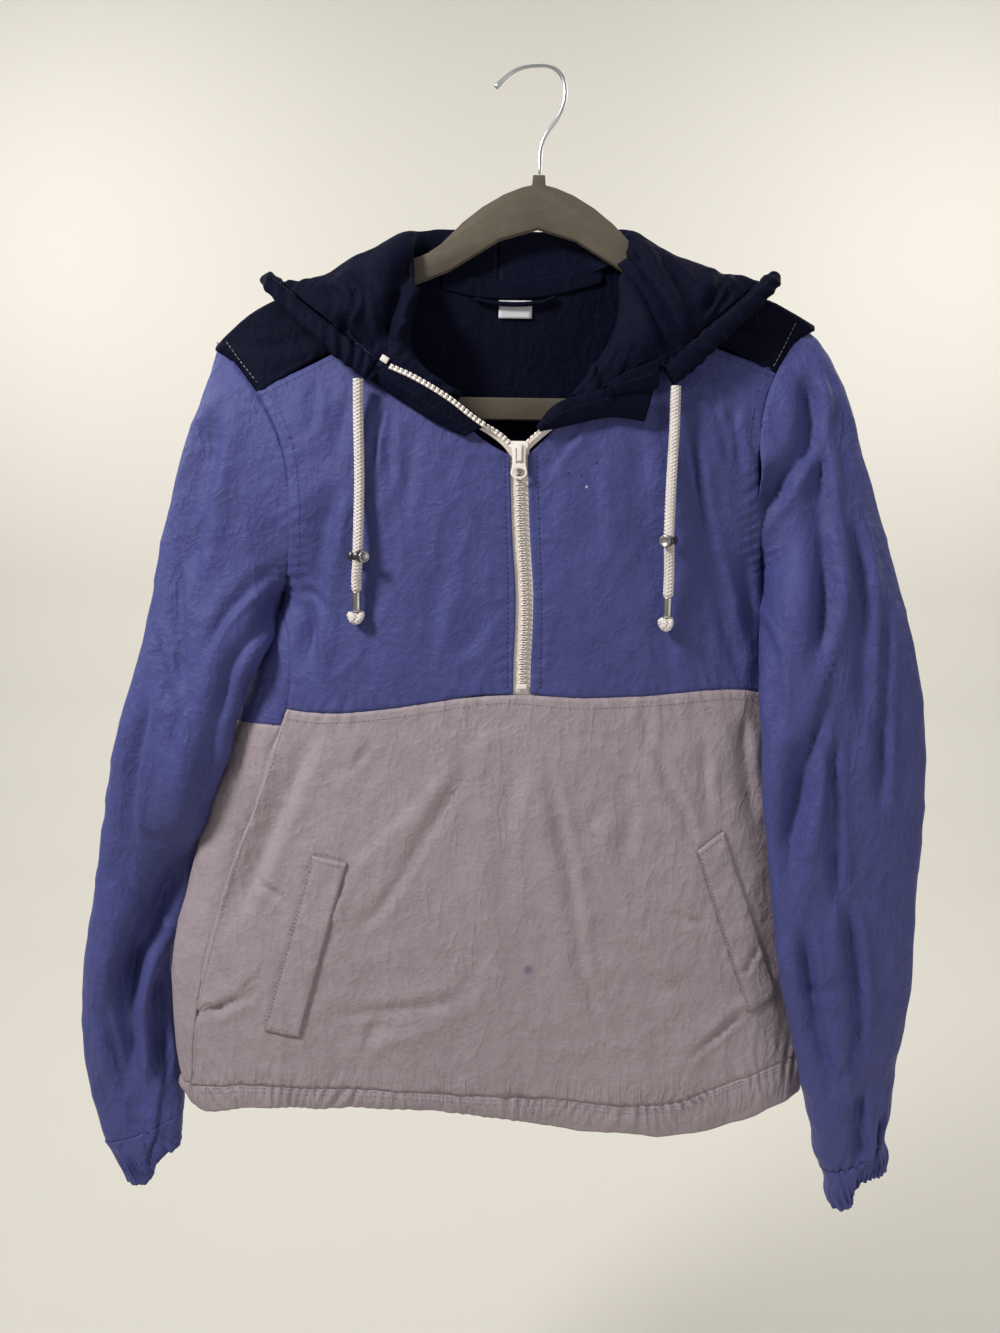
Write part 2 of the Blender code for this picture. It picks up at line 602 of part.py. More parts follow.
def yoke():
    left_tip, right_tip = ARMHOLE_LEFT_BACK[0][0], ARMHOLE_RIGHT_BACK[0][0]
    left_neck = (NECK_LEFT - left_tip) / (right_tip - left_tip)
    right_neck = (NECK_RIGHT - left_tip) / (right_tip - left_tip)
    left_columns, neck_columns, right_columns = 6, 8, 6
    back_rows, over_rows, front_rows = 7, 4, 4
    columns = left_columns + neck_columns + right_columns
    rows = back_rows + over_rows + front_rows
    lip = 4.0

    def across(column):
        if column <= left_columns:
            return left_neck * column / left_columns
        if column <= left_columns + neck_columns:
            share = (column - left_columns) / neck_columns
            return mix(left_neck, right_neck, 0.5 - 0.5 * math.cos(math.pi * share))
        return mix(right_neck, 1, (column - left_columns - neck_columns) / right_columns)

    def armhole(table, z, inward):
        return smooth([(q, p) for p, q in table], z) + inward

    def back_point(column, share):
        u = across(column)
        x_top = mix(left_tip, right_tip, u)
        in_neck = left_columns < column < left_columns + neck_columns
        z_top = smooth(BACK_NECK, x_top) - SEAM if in_neck else smooth(RIDGE, x_top) - lip
        z = mix(YOKE_BACK_SEAM, z_top, share)
        x = mix(armhole(ARMHOLE_LEFT_BACK, z, SEAM), armhole(ARMHOLE_RIGHT_BACK, z, -SEAM), u)
        return on_back(x, z)

    def over_point(column, share):
        x = mix(left_tip + SEAM, right_tip - SEAM, across(column))
        top = smooth(RIDGE, x)
        back, front = on_back(x, top - lip), on_front(x, top - lip)
        turn = share * math.pi
        y = mix(front.y, back.y, 0.5 + 0.5 * math.cos(turn))
        return Vector((x, y, top - lip + lip * math.sin(turn)))

    def front_point(column, share):
        left = column <= left_columns
        v = column / left_columns if left else (columns - column) / right_columns
        seam = YOKE_FRONT_LEFT if left else YOKE_FRONT_RIGHT
        hole = ARMHOLE_LEFT_FRONT if left else ARMHOLE_RIGHT_FRONT
        inward = SEAM if left else -SEAM
        tip_x = left_tip if left else right_tip
        neck_x = NECK_LEFT if left else NECK_RIGHT
        x_top = mix(tip_x + inward, neck_x, v)
        low_x, low_z = along(seam, v)
        z_top = smooth(RIDGE, x_top) - lip
        z = mix(z_top, low_z + SEAM, share)
        edge_low = armhole(hole, mix(smooth(RIDGE, tip_x) - lip, seam[0][1], share), inward)
        neck_low = mix(neck_x, seam[-1][0], share)
        return on_front(mix(edge_low, neck_low, v), z)

    sheet = bmesh.new()
    bmesh.ops.create_grid(sheet, x_segments=columns, y_segments=rows, size=0.5)
    spare = []
    for vert in sheet.verts:
        column = round((vert.co.x + 0.5) * columns)
        row = round((vert.co.y + 0.5) * rows)
        in_neck = left_columns < column < left_columns + neck_columns
        if row <= back_rows:
            place = back_point(column, row / back_rows)
        elif in_neck:
            spare.append(vert)
            continue
        elif row <= back_rows + over_rows:
            place = over_point(column, (row - back_rows) / over_rows)
        else:
            place = front_point(column, (row - back_rows - over_rows) / front_rows)
        vert.co = place * MM
    bmesh.ops.delete(sheet, geom=spare, context="VERTS")
    finish("yoke", sheet, navy())


# --- sleeves ---

def armhole_ring(front, back, share, outward):
    # a ring just outside the armhole seam: up the front, then down the back
    table, at = (front, share * 2) if share <= 0.5 else (back, share * 2 - 1)
    x, z = even(table, at)
    dx, dz = even(table, min(at + 0.02, 1)) - even(table, max(at - 0.02, 0))
    y = -depth(x, z) if share <= 0.5 else depth(x, z, False)
    if abs(share - 0.5) < 0.01 or share < 0.01:
        y = 0
    if abs(share - 0.5) < 0.01:
        dx, dz = -outward, 1.5 * abs(outward)
    wider = 1 + 1.2 * math.exp(-((share - 0.5) / 0.12) ** 2) + 1.5 * math.exp(-(min(share, 1 - share) / 0.06) ** 2)
    turn = (1 if share <= 0.5 else -1) * outward * wider / math.hypot(dx, dz)
    return Vector((x + dz * turn, y, z - dx * turn))


def sleeve_ring(row, share):
    ix, iy, iz, ox, oy, oz, thick, bow = row
    inner, outer = Vector((ix, iy, iz)), Vector((ox, oy, oz))
    turn = 2 * math.pi * share
    c, s = math.cos(turn), math.sin(turn)
    n = 2.5
    run = math.copysign(abs(c) ** (2 / n), c)
    swell = math.copysign(abs(s) ** (2 / n), s)
    middle = (inner + outer) / 2
    half = (inner - outer) / 2
    flat = Vector((half.x, half.y, 0))
    side = Vector((-flat.y, flat.x, 0)).normalized() if flat.length > 1 else Vector((0, 1, 0))
    if side.y > 0:
        side = -side
    side.x *= min(1, flat.length / 20)
    toward = 1 if ix > ox else -1
    bend = bow * s * s * (1 if s > 0 else 0.3)
    return middle + half * run + side * swell * thick / 2 + Vector((toward * bend, 0, 0))


def sleeve(name, rows, front, back, around, steps):
    outward = -ARM_GAP if rows[0][0] < 0 else ARM_GAP
    rings = len(rows)

    def surface(s, t):
        if s >= 0.9999:
            s = 0.0
        at = t * rings
        if at < 1:
            first = armhole_ring(front, back, s, outward)
            second = sleeve_ring(rows[0], s)
            return mix(first, second, at)
        points = [sleeve_ring(row, s) for row in rows]
        return Vector(along(points, (at - 1) / (rings - 1)))
    cloth(name, surface, around, steps, periwinkle(), closed=True)


def cuff(name, top_row, rim):
    inner, outer, thick, step_at, step = rim
    rim_row = (*inner, *outer, thick, 0)

    def surface(s, t):
        if s >= 0.9999:
            s = 0.0
        top = sleeve_ring(top_row, s)
        low = sleeve_ring(rim_row, s)
        share = (low.x - inner[0]) / (outer[0] - inner[0])
        lift = step * (1 / (1 + math.exp((share - step_at) * 24)) - 0.5)
        low.z += lift
        wave = CUFF_DEPTH * math.sin(2 * math.pi * CUFF_WAVES * s)
        place = mix(top, low, mix(SEAM / 30, 1, t))
        outward = Vector((math.cos(2 * math.pi * s) * (1 if inner[0] > outer[0] else -1),
                          -math.sin(2 * math.pi * s), 0))
        return place + outward * wave * (0.4 + 0.6 * t)
    cloth(name, surface, CUFF_WAVES * 4, 2, periwinkle(), closed=True)


def sleeves():
    sleeve("sleeve_left", SLEEVE_LEFT, ARMHOLE_LEFT_FRONT, ARMHOLE_LEFT_BACK, 18, 14)
    sleeve("sleeve_right", SLEEVE_RIGHT, ARMHOLE_RIGHT_FRONT, ARMHOLE_RIGHT_BACK, 18, 14)
    cuff("cuff_left", SLEEVE_LEFT[-1], CUFF_LEFT)
    cuff("cuff_right", SLEEVE_RIGHT[-1], CUFF_RIGHT)


def hem():
    def surface(s, t):
        if s >= 0.9999:
            s = 0.0
        angle = 2 * math.pi * s
        z = -780
        for _ in range(3):
            x = x_at(angle, z)
            front = math.sin(angle) >= 0
            z = mix(hem_height(x, front, False) - SEAM, hem_height(x, front, True), t)
        wave = HEM_WAVE_DEPTH * math.sin(HEM_WAVES * angle)
        return on_body(angle, z, HEM_BULGE * math.sin(math.pi * t) + wave * t)
    cloth("hem_casing", surface, HEM_WAVES * 4, 2, lilac(), closed=True)


# --- hood ---

def hood_row(number, side):
    # the right half mirrors the left about the hood's middle, and is pulled in where it rolls
    x, z = (HOOD_NECK_LEFT if side < 0 else HOOD_NECK_RIGHT)[number]
    y = depth(x, z, False) if number < HOOD_ON_BACK else 0 if number == HOOD_ON_BACK else -depth(x, z)
    row = [(x, y, z)]
    for pulled, (x, y, z) in zip(HOOD_PULLED[1:], HOOD_SECTIONS[number][1:]):
        if side > 0:
            x = 2 * HOOD_CENTRE - x
            z += smooth(HOOD_RIGHT_LIFT, x) if y < 25 else 0
            x -= pulled * smooth(HOOD_RIGHT_PULL, z) if y < 0 else 0
        row.append((x, y, z))
    return row


def off_shoulder(place):
    # the nearest place outside the yoke, where the hood lies on the shoulders
    left_edge = smooth([(-184, -112), (-119, -92)], place.z)
    right_edge = smooth([(-180, 98), (-115, 72)], place.z)
    if left_edge < place.x < right_edge or place.z < YOKE_BACK_SEAM:
        return place
    out = HOOD_OFF_YOKE + WALL
    ahead = place.y + depth(place.x, place.z) + out
    behind = depth(place.x, place.z, False) + out - place.y
    above = smooth(RIDGE, place.x) + out - place.z
    least = min(ahead, behind, above)
    if least > 0:
        shift = (0, 0, above) if least == above else (0, -ahead, 0) if least == ahead else (0, behind, 0)
        place = place + Vector(shift)
    low = smooth(RIDGE, place.x) - 4
    radius = math.hypot(place.y, place.z - low)
    if place.z < low or radius > HOOD_ROLL:
        return place
    grow = HOOD_ROLL / radius
    return Vector((place.x, place.y * grow, low + (place.z - low) * grow))


def hood_surface(side):
    rows = [hood_row(number, side) for number in range(len(HOOD_SECTIONS))]

    def surface(s, t):
        place = Vector(along([along(row, t) for row in rows], s))
        place.x += (HOOD_SEAM - HOOD_CENTRE + side * SEAM * 0.4) * max(0, 1 - s * (len(rows) - 1))
        return off_shoulder(place) if t > 0.06 else place
    return surface


def hood_casing(name, side, surface, look):
    outs = [(-side * x, y, z) for x, y, z in CASING_OUT]

    def ring(s, t):
        if s >= 0.9999:
            s = 0.0
        u = mix(0.012, CASING_END, t)
        here = surface(u, 1.0)
        run = (surface(min(u + 0.02, 1), 1.0) - surface(max(u - 0.02, 0), 1.0)).normalized()
        out = Vector(along(outs, u))
        out = (out - run * out.dot(run)).normalized()
        up = run.cross(out)
        roundness = math.exp(-((u - CASING_ROUND) / 0.16) ** 2)
        width = CASING_WIDTH - 4 * roundness
        thick = CASING_THICK + 4.5 * roundness
        centre = here + out * (width / 2 + SEAM + 1.8)
        turn = 2 * math.pi * s
        return centre + out * width / 2 * math.cos(turn) + up * thick / 2 * math.sin(turn)
    cloth(name, ring, 8, 18, look, closed=True)


def hood():
    for side, word in ((-1, "left"), (1, "right")):
        surface = hood_surface(side)
        cloth("hood_" + word, surface, 16, 14, navy())
        hood_casing("hood_casing_" + word, side, surface, navy())


def ribbon(name, top, low, ahead, over, columns, rows, curl):
    # a strip between two rails on the front; its upper rail lies before the open zip
    def surface(s, t):
        upper = even(top, s)
        x, z = mix(upper, even(low, s), t)
        return on_front(x, z, mix(open_lift(upper[1]) + ahead, over, t) + curl * math.sin(math.pi * t))
    cloth(name, surface, columns, rows, navy())


def collar():
    ribbon("collar_band_left", BAND_LEFT_TOP, BAND_LEFT_LOW, 0.3, 5.5, 12, 4, 2.5)
    ribbon("collar_band_right", BAND_RIGHT_TOP, BAND_RIGHT_LOW, 4.6, 15.5, 6, 3, 1.0)
    ribbon("zip_guard", GUARD_TOP, GUARD_LOW, 1.6, 6.5, 12, 4, 2.0)


def neck_trim():
    def tape(s, t):
        x = mix(-70, 48, s)
        z = smooth(BACK_NECK, x) + 7 - 12 * t
        return Vector((x, depth(x, min(z, smooth(BACK_NECK, x) - 1), False) - WALL - CLEAR - 0.3, z))
    cloth("neck_tape", tape, 14, 2, navy(), 1.0)
    loop = [(-46, 4.0, -155.5), (-38, 3.8, -158), (-16, 3.6, -159.5), (6, 3.8, -157.5), (15, 4.0, -153.5)]
    cord("hanging_loop", loop, 3.8, 10, navy())
    label_top = -157
    cloth("label", lambda s, t: Vector((mix(-27, -4, s), 6.6, mix(label_top, label_top - 11, t))), 1, 1,
          material("label cloth", (0.7, 0.7, 0.72)), 1.0)


# --- zip ---

def zip_tape(name, side, route, look):
    bottom = [(smooth(CHAIN_CENTRE, z) + side * 0.7, z) for z in (ZIP_BOTTOM, -420, -396, -374, -345, -317, -290)]
    edge = bottom + route

    def surface(s, t):
        here = even(edge, s, 120)
        ahead, behind = even(edge, min(s + 0.01, 1), 120), even(edge, max(s - 0.01, 0), 120)
        run = (ahead - behind) / np.linalg.norm(ahead - behind)
        out = np.array((run[1], -run[0])) * side
        x, z = here + out * TAPE_HALF * smooth(OPEN_TAPE, here[1]) * t
        lift = -TAPE_BEHIND + open_lift(here[1]) * (1 - 0.2 * t)
        return on_front(x, z, lift)
    cloth(name, surface, 28, 2, look, TAPE_WALL)


def open_lift(z):
    # above the slider the tapes stand forward with the collar
    return smooth([(-273, 0), (-262, 2), (-248, 6), (-232, 10), (-211, 15), (-200, 16)], z)


def zip_strip(name, width, top, bottom, thick, lift, look, rows):
    def surface(s, t):
        z = mix(bottom, top, t)
        return on_front(smooth(CHAIN_CENTRE, z) + width * (s - 0.5), z, lift)
    cloth(name, surface, 1, rows, look, thick)


def plate(name, loops, thick, place, turn, look):
    # a flat plate with holes, as a mesh that can be joined and cut
    outline = bpy.data.curves.new(name, "CURVE")
    outline.dimensions = "2D"
    outline.fill_mode = "BOTH"
    outline.extrude = thick / 2 * MM
    for loop in loops:
        line = outline.splines.new("POLY")
        line.points.add(len(loop) - 1)
        line.use_cyclic_u = True
        for point, (x, z) in zip(line.points, loop):
            point.co = (x * MM, z * MM, 0, 1)
    flat = bpy.data.objects.new(name + "_outline", outline)
    bpy.context.scene.collection.objects.link(flat)
    mesh = bpy.data.meshes.new_from_object(flat.evaluated_get(bpy.context.evaluated_depsgraph_get()))
    bpy.data.objects.remove(flat)
    solid = bmesh.new()
    solid.from_mesh(mesh)
    bmesh.ops.remove_doubles(solid, verts=solid.verts, dist=0.000005)
    bmesh.ops.rotate(solid, verts=solid.verts, matrix=Matrix.Rotation(math.pi / 2, 3, "X"))
    solid.to_mesh(mesh)
    solid.free()
    made = keep(bpy.data.objects.new(name, mesh), look)
    made.location = Vector(place) * MM
    made.rotation_euler = turn
    return made


def joined(thing, size, offset):
    # a box fused to a plate, given in the plate's own frame
    part = box(thing.name + "_box", size, (0, 0, 0), None, "cutters")
    part.parent = thing
    part.location = Vector(offset) * MM
    boolean(thing, part, "UNION")


def oval(width, height, middle, points):
    return [(width / 2 * math.cos(a), middle + height / 2 * math.sin(a))
            for a in (2 * math.pi * k / points for k in range(points))]


def slider(look):
    middle = (SLIDER_TOP - SLIDER_LENGTH / 2)
    x = smooth(CHAIN_CENTRE, middle)
    rise = depth(x, middle - 8) - depth(x, middle + 8)
    tilt = -math.atan(rise / 16)
    seat = Vector((x, -depth(x, middle), middle))
    frame = Matrix.Rotation(tilt, 3, "X")
    front = -(TAPE_WALL / 2 + CLEAR + CHAIN_THICK + CLEAR - TAPE_BEHIND)
    half = SLIDER_LENGTH / 2
    top, foot = SLIDER_WIDTH / 2, SLIDER_FOOT / 2
    shape = [(top, half), (top, half - 4), (foot, -1), (foot, -half + 1), (foot - 1, -half)]
    shape += [(-a, b) for a, b in reversed(shape)]
    body = plate("zip_slider", [shape], SLIDER_PLATE, seat + frame @ Vector((0, front - SLIDER_PLATE / 2, 0)),
                 (tilt, 0, 0), look)
    face = -SLIDER_PLATE / 2
    lift = TAB_ROD + 2 * CLEAR
    long = BRIDGE_LENGTH / 2
    joined(body, (BRIDGE_WIDTH, 1.4, BRIDGE_LENGTH), (0, face - lift - 0.7, 0))
    for end in (1, -1):
        joined(body, (BRIDGE_WIDTH - 0.3, lift + 1.1, 1.6), (0, face - lift / 2, end * (long - 1)))
    back = TAPE_BEHIND + TAPE_WALL / 2 + 0.5
    reach = back + 0.6 - front
    joined(body, (9.0, 1.2, SLIDER_LENGTH - 3), (0, SLIDER_PLATE / 2 - front + back + 0.6, 1.5))
    joined(body, (1.8, reach + 0.2, 2.0), (0, SLIDER_PLATE / 2 + reach / 2 - 0.3, half - 1.2))
    pivot_at = Vector((0, front - SLIDER_PLATE - CLEAR - TAB_ROD / 2, long - 1.8 - TAB_ROD / 2 - 0.5))
    arm, slot = TAB_NECK / 2, BRIDGE_WIDTH / 2 + 0.6
    reach = TAB_ROD / 2
    web = BRIDGE_LENGTH - 1.2
    eye = -TAB_LENGTH + 1.4 + TAB_EYE[1] / 2
    shape = [(arm, reach), (arm, -web + 1), (arm + 0.4, eye + 4.6)]
    shape += [(TAB_WIDTH / 2 * math.cos(a), eye + (TAB_EYE[1] / 2 + 1.4) * math.sin(a))
              for a in (math.radians(d) for d in (25, 5, -15, -40, -65, -90))]
    shape += [(-a, b) for a, b in reversed(shape[:-1])]
    hole = [(slot, -reach), (slot, -web), (-slot, -web), (-slot, -reach)]
    plate("zip_pull_tab", [shape, hole, oval(TAB_EYE[0], TAB_EYE[1], eye, 12)], TAB_ROD,
          seat + frame @ pivot_at, (tilt, 0, 0), look)


def zipper():
    tape_look = material("zip tape", WHITE, 0.8)
    zip_tape("zip_tape_left", -1, OPEN_LEFT, tape_look)
    zip_tape("zip_tape_right", 1, OPEN_RIGHT, tape_look)
    teeth_lift = TAPE_WALL / 2 + CLEAR + CHAIN_THICK / 2 - TAPE_BEHIND
    zip_strip("zip_chain", CHAIN_WIDTH, CHAIN_TOP, ZIP_BOTTOM + 8, CHAIN_THICK, teeth_lift, white(), 12)
    zip_strip("zip_bottom_stop", 7, ZIP_BOTTOM + 7.5, ZIP_BOTTOM + 4, 3.0, teeth_lift + 0.3, white(), 1)
    slider(white())
    x, z = OPEN_LEFT[-1]
    stop = box("zip_top_stop", (4.5, 3.0, 5.5), on_front(x - 2.9, z + 3.8, open_lift(z) + 2.5), white())
    stop.rotation_euler = (0, math.radians(-58), 0)


# --- pockets ---

def welts():
    for word, ((ax, az), (bx, bz), (cx, cz), (dx, dz)) in (("left", WELT_LEFT), ("right", WELT_RIGHT)):
        def surface(s, t):
            x = mix(mix(ax, bx, s), mix(cx, dx, s), t)
            z = mix(mix(az, bz, s), mix(cz, dz, s), t)
            return on_front(x, z, WALL + 0.8)
        cloth("pocket_welt_" + word, surface, 2, 6, lilac())


# --- drawcords ---

def lock(word, place, turn):
    # a spring lock: a barrel with a plunger that slides in from the front
    lie = (math.pi / 2, 0, math.radians(turn))
    axis = Vector((math.sin(math.radians(turn)), -math.cos(math.radians(turn)), 0))
    middle = Vector(place)
    barrel = rod("cord_lock_" + word, LOCK_WIDTH / 2, LOCK_LENGTH, middle - axis * 2.2, material(
        "dark steel", (0.12, 0.11, 0.11), 0.35, 0.9), 16, lie)
    bore = rod("cord_lock_bore_" + word, LOCK_BORE / 2, LOCK_LENGTH, middle - axis * 2.2 + axis * 3.0, None, 12, lie,
               "cutters")
    boolean(barrel, bore, "DIFFERENCE")
    front = middle + axis * (LOCK_LENGTH / 2 - 2.2 + PLUNGER_GAP)
    head = rod("cord_lock_plunger_" + word, LOCK_WIDTH / 2, PLUNGER_HEAD, front + axis * PLUNGER_HEAD / 2, steel(), 16,
               lie)
    stem = rod("plunger_stem_" + word, LOCK_BORE / 2 - CLEAR, PLUNGER_STEM, front - axis * (PLUNGER_STEM / 2 - 0.2),
               None, 12, lie, "cutters")
    boolean(head, stem, "UNION")


def knot(name, size, place):
    made = bmesh.new()
    bmesh.ops.create_uvsphere(made, u_segments=10, v_segments=7, radius=0.5 * MM)
    for vert in made.verts:
        vert.co = Vector(vert.co[i] * size[i] for i in range(3))
    mesh = bpy.data.meshes.new(name)
    made.to_mesh(mesh)
    made.free()
    thing = keep(bpy.data.objects.new(name, mesh), cord_look())
    thing.location = Vector(place) * MM
    return thing


def cord_look():
    return material("braided cord", WHITE, 0.85)


def drawcords():
    sides = (("left", CORD_LEFT, LOCK_LEFT, LOCK_TURN_LEFT, TAIL_LEFT, KNOT_LEFT),
             ("right", CORD_RIGHT, LOCK_RIGHT, LOCK_TURN_RIGHT, TAIL_RIGHT, KNOT_RIGHT))
    for word, route, lock_place, turn, tail, knot_size in sides:
        cord("drawcord_" + word, route, CORD_WIDTH, 10, cord_look())
        lock(word, lock_place, turn)
        cord("drawcord_tail_" + word, tail, CORD_WIDTH, 4, cord_look())
        end = Vector(tail[-1]) - Vector((0, 0, CLEAR + FERRULE_LENGTH / 2))
        rod("ferrule_" + word, FERRULE_WIDTH / 2, FERRULE_LENGTH, end, steel(), 14)
        foot = end - Vector((knot_size[0] * KNOT_SHIFT, 0, FERRULE_LENGTH / 2 + CLEAR + knot_size[2] / 2))
        knot("knot_" + word, knot_size, foot)


def body_of_windbreaker():
    hanger()
    hook()
    fronts_and_backs()
    yoke()
    sleeves()
    hem()
    hood()
    collar()
    neck_trim()
    zipper()
    welts()
    drawcords()


def clear_scene():
    for thing in list(bpy.data.objects):
        bpy.data.objects.remove(thing, do_unlink=True)


clear_scene()
body_of_windbreaker()
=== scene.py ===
import math

import bmesh
import bpy
import numpy as np
from mathutils import Matrix, Vector, noise
from mathutils.bvhtree import BVHTree
from mathutils.kdtree import KDTree


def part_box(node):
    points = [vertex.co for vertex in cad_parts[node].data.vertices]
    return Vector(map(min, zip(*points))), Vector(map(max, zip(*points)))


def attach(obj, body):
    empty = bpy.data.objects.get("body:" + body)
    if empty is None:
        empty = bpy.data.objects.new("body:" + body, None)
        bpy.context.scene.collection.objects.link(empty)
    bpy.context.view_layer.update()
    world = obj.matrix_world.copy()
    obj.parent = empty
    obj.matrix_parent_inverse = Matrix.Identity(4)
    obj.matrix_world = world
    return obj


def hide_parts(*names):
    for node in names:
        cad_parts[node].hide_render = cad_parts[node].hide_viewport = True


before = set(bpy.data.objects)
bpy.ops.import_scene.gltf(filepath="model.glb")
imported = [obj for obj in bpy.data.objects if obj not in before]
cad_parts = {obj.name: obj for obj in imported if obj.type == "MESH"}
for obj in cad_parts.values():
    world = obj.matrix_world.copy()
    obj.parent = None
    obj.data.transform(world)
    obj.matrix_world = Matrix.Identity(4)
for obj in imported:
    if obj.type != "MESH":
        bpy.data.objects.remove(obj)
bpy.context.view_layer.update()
mm = 0.001
jacket = "windbreaker"


def linked(name, data):
    made = bpy.data.objects.new(name, data)
    bpy.context.scene.collection.objects.link(made)
    return made


# camera, at eye height before the hanging jacket
view = {"place": (-0.0231, -0.744, -0.3111), "down": 9.15, "roll": 0.82, "lens": 26.007}


def makeCamera():
    data = bpy.data.cameras.new("camera")
    data.lens = view["lens"]
    data.sensor_width = 36
    camera = linked("camera", data)
    down, roll = math.radians(view["down"]), math.radians(view["roll"])
    ahead = Vector((0, math.cos(down), -math.sin(down)))
    side = Vector((1, 0, 0))
    above = side.cross(ahead)
    right = side * math.cos(roll) + above * math.sin(roll)
    up = above * math.cos(roll) - side * math.sin(roll)
    turn = Matrix((right, up, -ahead)).transposed()
    camera.matrix_world = Matrix.Translation(view["place"]) @ turn.to_4x4()
    bpy.context.scene.camera = camera


makeCamera()


# shader maths
class Flow:
    def __init__(self, look, socket):
        self.look = look
        self.socket = socket

    def maths(self, operation, first, second=None, clamp=False):
        return self.look.add("ShaderNodeMath", {"operation": operation, "use_clamp": clamp},
                             {0: first, 1: second})

    def __add__(self, other):
        return self.maths("ADD", self, other)

    __radd__ = __add__

    def __sub__(self, other):
        return self.maths("SUBTRACT", self, other)

    def __rsub__(self, other):
        return self.maths("SUBTRACT", other, self)

    def __mul__(self, other):
        return self.maths("MULTIPLY", self, other)

    def __truediv__(self, other):
        return self.maths("DIVIDE", self, other)

    def __pow__(self, other):
        return self.maths("POWER", self, other)

    def size(self):
        return self.maths("ABSOLUTE", self)

    def wave(self):
        return self.maths("SINE", self)

    def held(self):
        return self.maths("ADD", self, 0.0, clamp=True)

    def above(self, low, gain):
        return ((self - low) * gain).held()

    def ridge(self, sharp):
        # bright only where a cloud passes its middle
        return (1 - (self - 0.5).size() * sharp).held()


class Look:
    def __init__(self, name, fixed):
        self.material = bpy.data.materials.new(name)
        self.material.use_nodes = True
        self.tree = self.material.node_tree
        self.shader = self.tree.nodes["Principled BSDF"]
        for socket, value in fixed.items():
            self.shader.inputs[socket].default_value = value
        self.place = self.add("ShaderNodeTexCoord", {}, {}, "Object")

    def add(self, kind, settings=None, sockets=None, out=0):
        node = self.tree.nodes.new(kind)
        for name, value in (settings or {}).items():
            setattr(node, name, value)
        for name, value in (sockets or {}).items():
            if isinstance(value, Flow):
                self.tree.links.new(value.socket, node.inputs[name])
            elif value is not None:
                node.inputs[name].default_value = value
        return Flow(self, node.outputs[out])

    def axis(self, which):
        return self.add("ShaderNodeSeparateXYZ", {}, {0: self.place}, "xyz".index(which))

    def cloudy(self, scale, detail=2, roughness=0.5, place=None):
        return self.add("ShaderNodeTexNoise", {}, {"Vector": place or self.place, "Scale": scale,
                                                   "Detail": detail, "Roughness": roughness})

    def mix(self, share, first, second):
        ends = {}
        for number, value in ((6, first), (7, second)):
            ends[number] = value if isinstance(value, Flow) else (*value, 1)
        return self.add("ShaderNodeMix", {"data_type": "RGBA"}, {0: share, **ends}, 2)

    def stretched(self, scale, turn=(0, 0, 0)):
        return self.add("ShaderNodeMapping", {}, {"Vector": self.place, "Rotation": turn, "Scale": scale})

    def warped(self, scale, amount):
        cloud = self.add("ShaderNodeTexNoise", {}, {"Vector": self.place, "Scale": scale, "Detail": 2}, 1)
        push = self.add("ShaderNodeVectorMath", {"operation": "SUBTRACT"}, {0: cloud, 1: (0.5, 0.5, 0.5)})
        push = self.add("ShaderNodeVectorMath", {"operation": "SCALE"}, {0: push, "Scale": amount})
        return self.add("ShaderNodeVectorMath", {"operation": "ADD"}, {0: self.place, 1: push})

    def spot(self, point, radius):
        level = self.stretched((1, 0, 1))
        away = self.add("ShaderNodeVectorMath", {"operation": "DISTANCE"},
                        {0: level, 1: (point[0] * mm, 0, point[1] * mm)}, 1)
        ragged = away + (self.cloudy(600, 2, 0.6) - 0.5) * 0.0016
        onFront = (self.axis("y") * -400 - 10).held()
        return (1.6 - ragged / (radius * mm)).held() * onFront

    def finish(self, colour, roughness, height=None, depth=0.001, strength=1.0):
        links = self.tree.links
        links.new(colour.socket, self.shader.inputs["Base Color"])
        links.new(roughness.socket, self.shader.inputs["Roughness"])
        if height is not None:
            bump = self.add("ShaderNodeBump", {}, {"Height": height, "Distance": depth,
                                                   "Strength": strength})
            links.new(bump.socket, self.shader.inputs["Normal"])
        return self.material


# materials
nylons = {
    "periwinkleNylon": {"colour": (0.059, 0.065, 0.209), "dark": (0.042, 0.046, 0.152), "sheen": 0.04,
                        "rough": 0.58, "gloss": 0.24, "crinkle": 0.50},
    "navyNylon": {"colour": (0.0036, 0.0042, 0.0150), "dark": (0.0024, 0.0027, 0.0098), "sheen": 0.004,
                  "rough": 0.72, "gloss": 0.06, "crinkle": 0.45},
    "lilacNylon": {"colour": (0.340, 0.279, 0.298), "dark": (0.272, 0.218, 0.238), "sheen": 0.04,
                   "rough": 0.58, "gloss": 0.26, "crinkle": 0.44},
}
# small marks on the cloth: x and z in millimetres, radius, colour
specks = {
    "periwinkleNylon": [((44, -276), 0.8, (0.02, 0.02, 0.05)), ((24, -284), 0.9, (0.02, 0.02, 0.05)),
                        ((33, -285), 0.6, (0.02, 0.02, 0.05)), ((37, -293), 0.8, (0.6, 0.58, 0.6))],
    "lilacNylon": [((2, -660), 3.2, (0.20, 0.16, 0.24)), ((-70, -560), 1.0, (0.42, 0.38, 0.40))],
    "navyNylon": [],
}
# turns of a wave in one metre of each weave
nylonWeave, tapeRib, tapeWarp, labelRib, labelWarp = [2 * math.pi / (pitch * mm) for pitch in
                                                      (0.62, 1.1, 1.4, 0.5, 0.9)]
hemHeight = 0.774


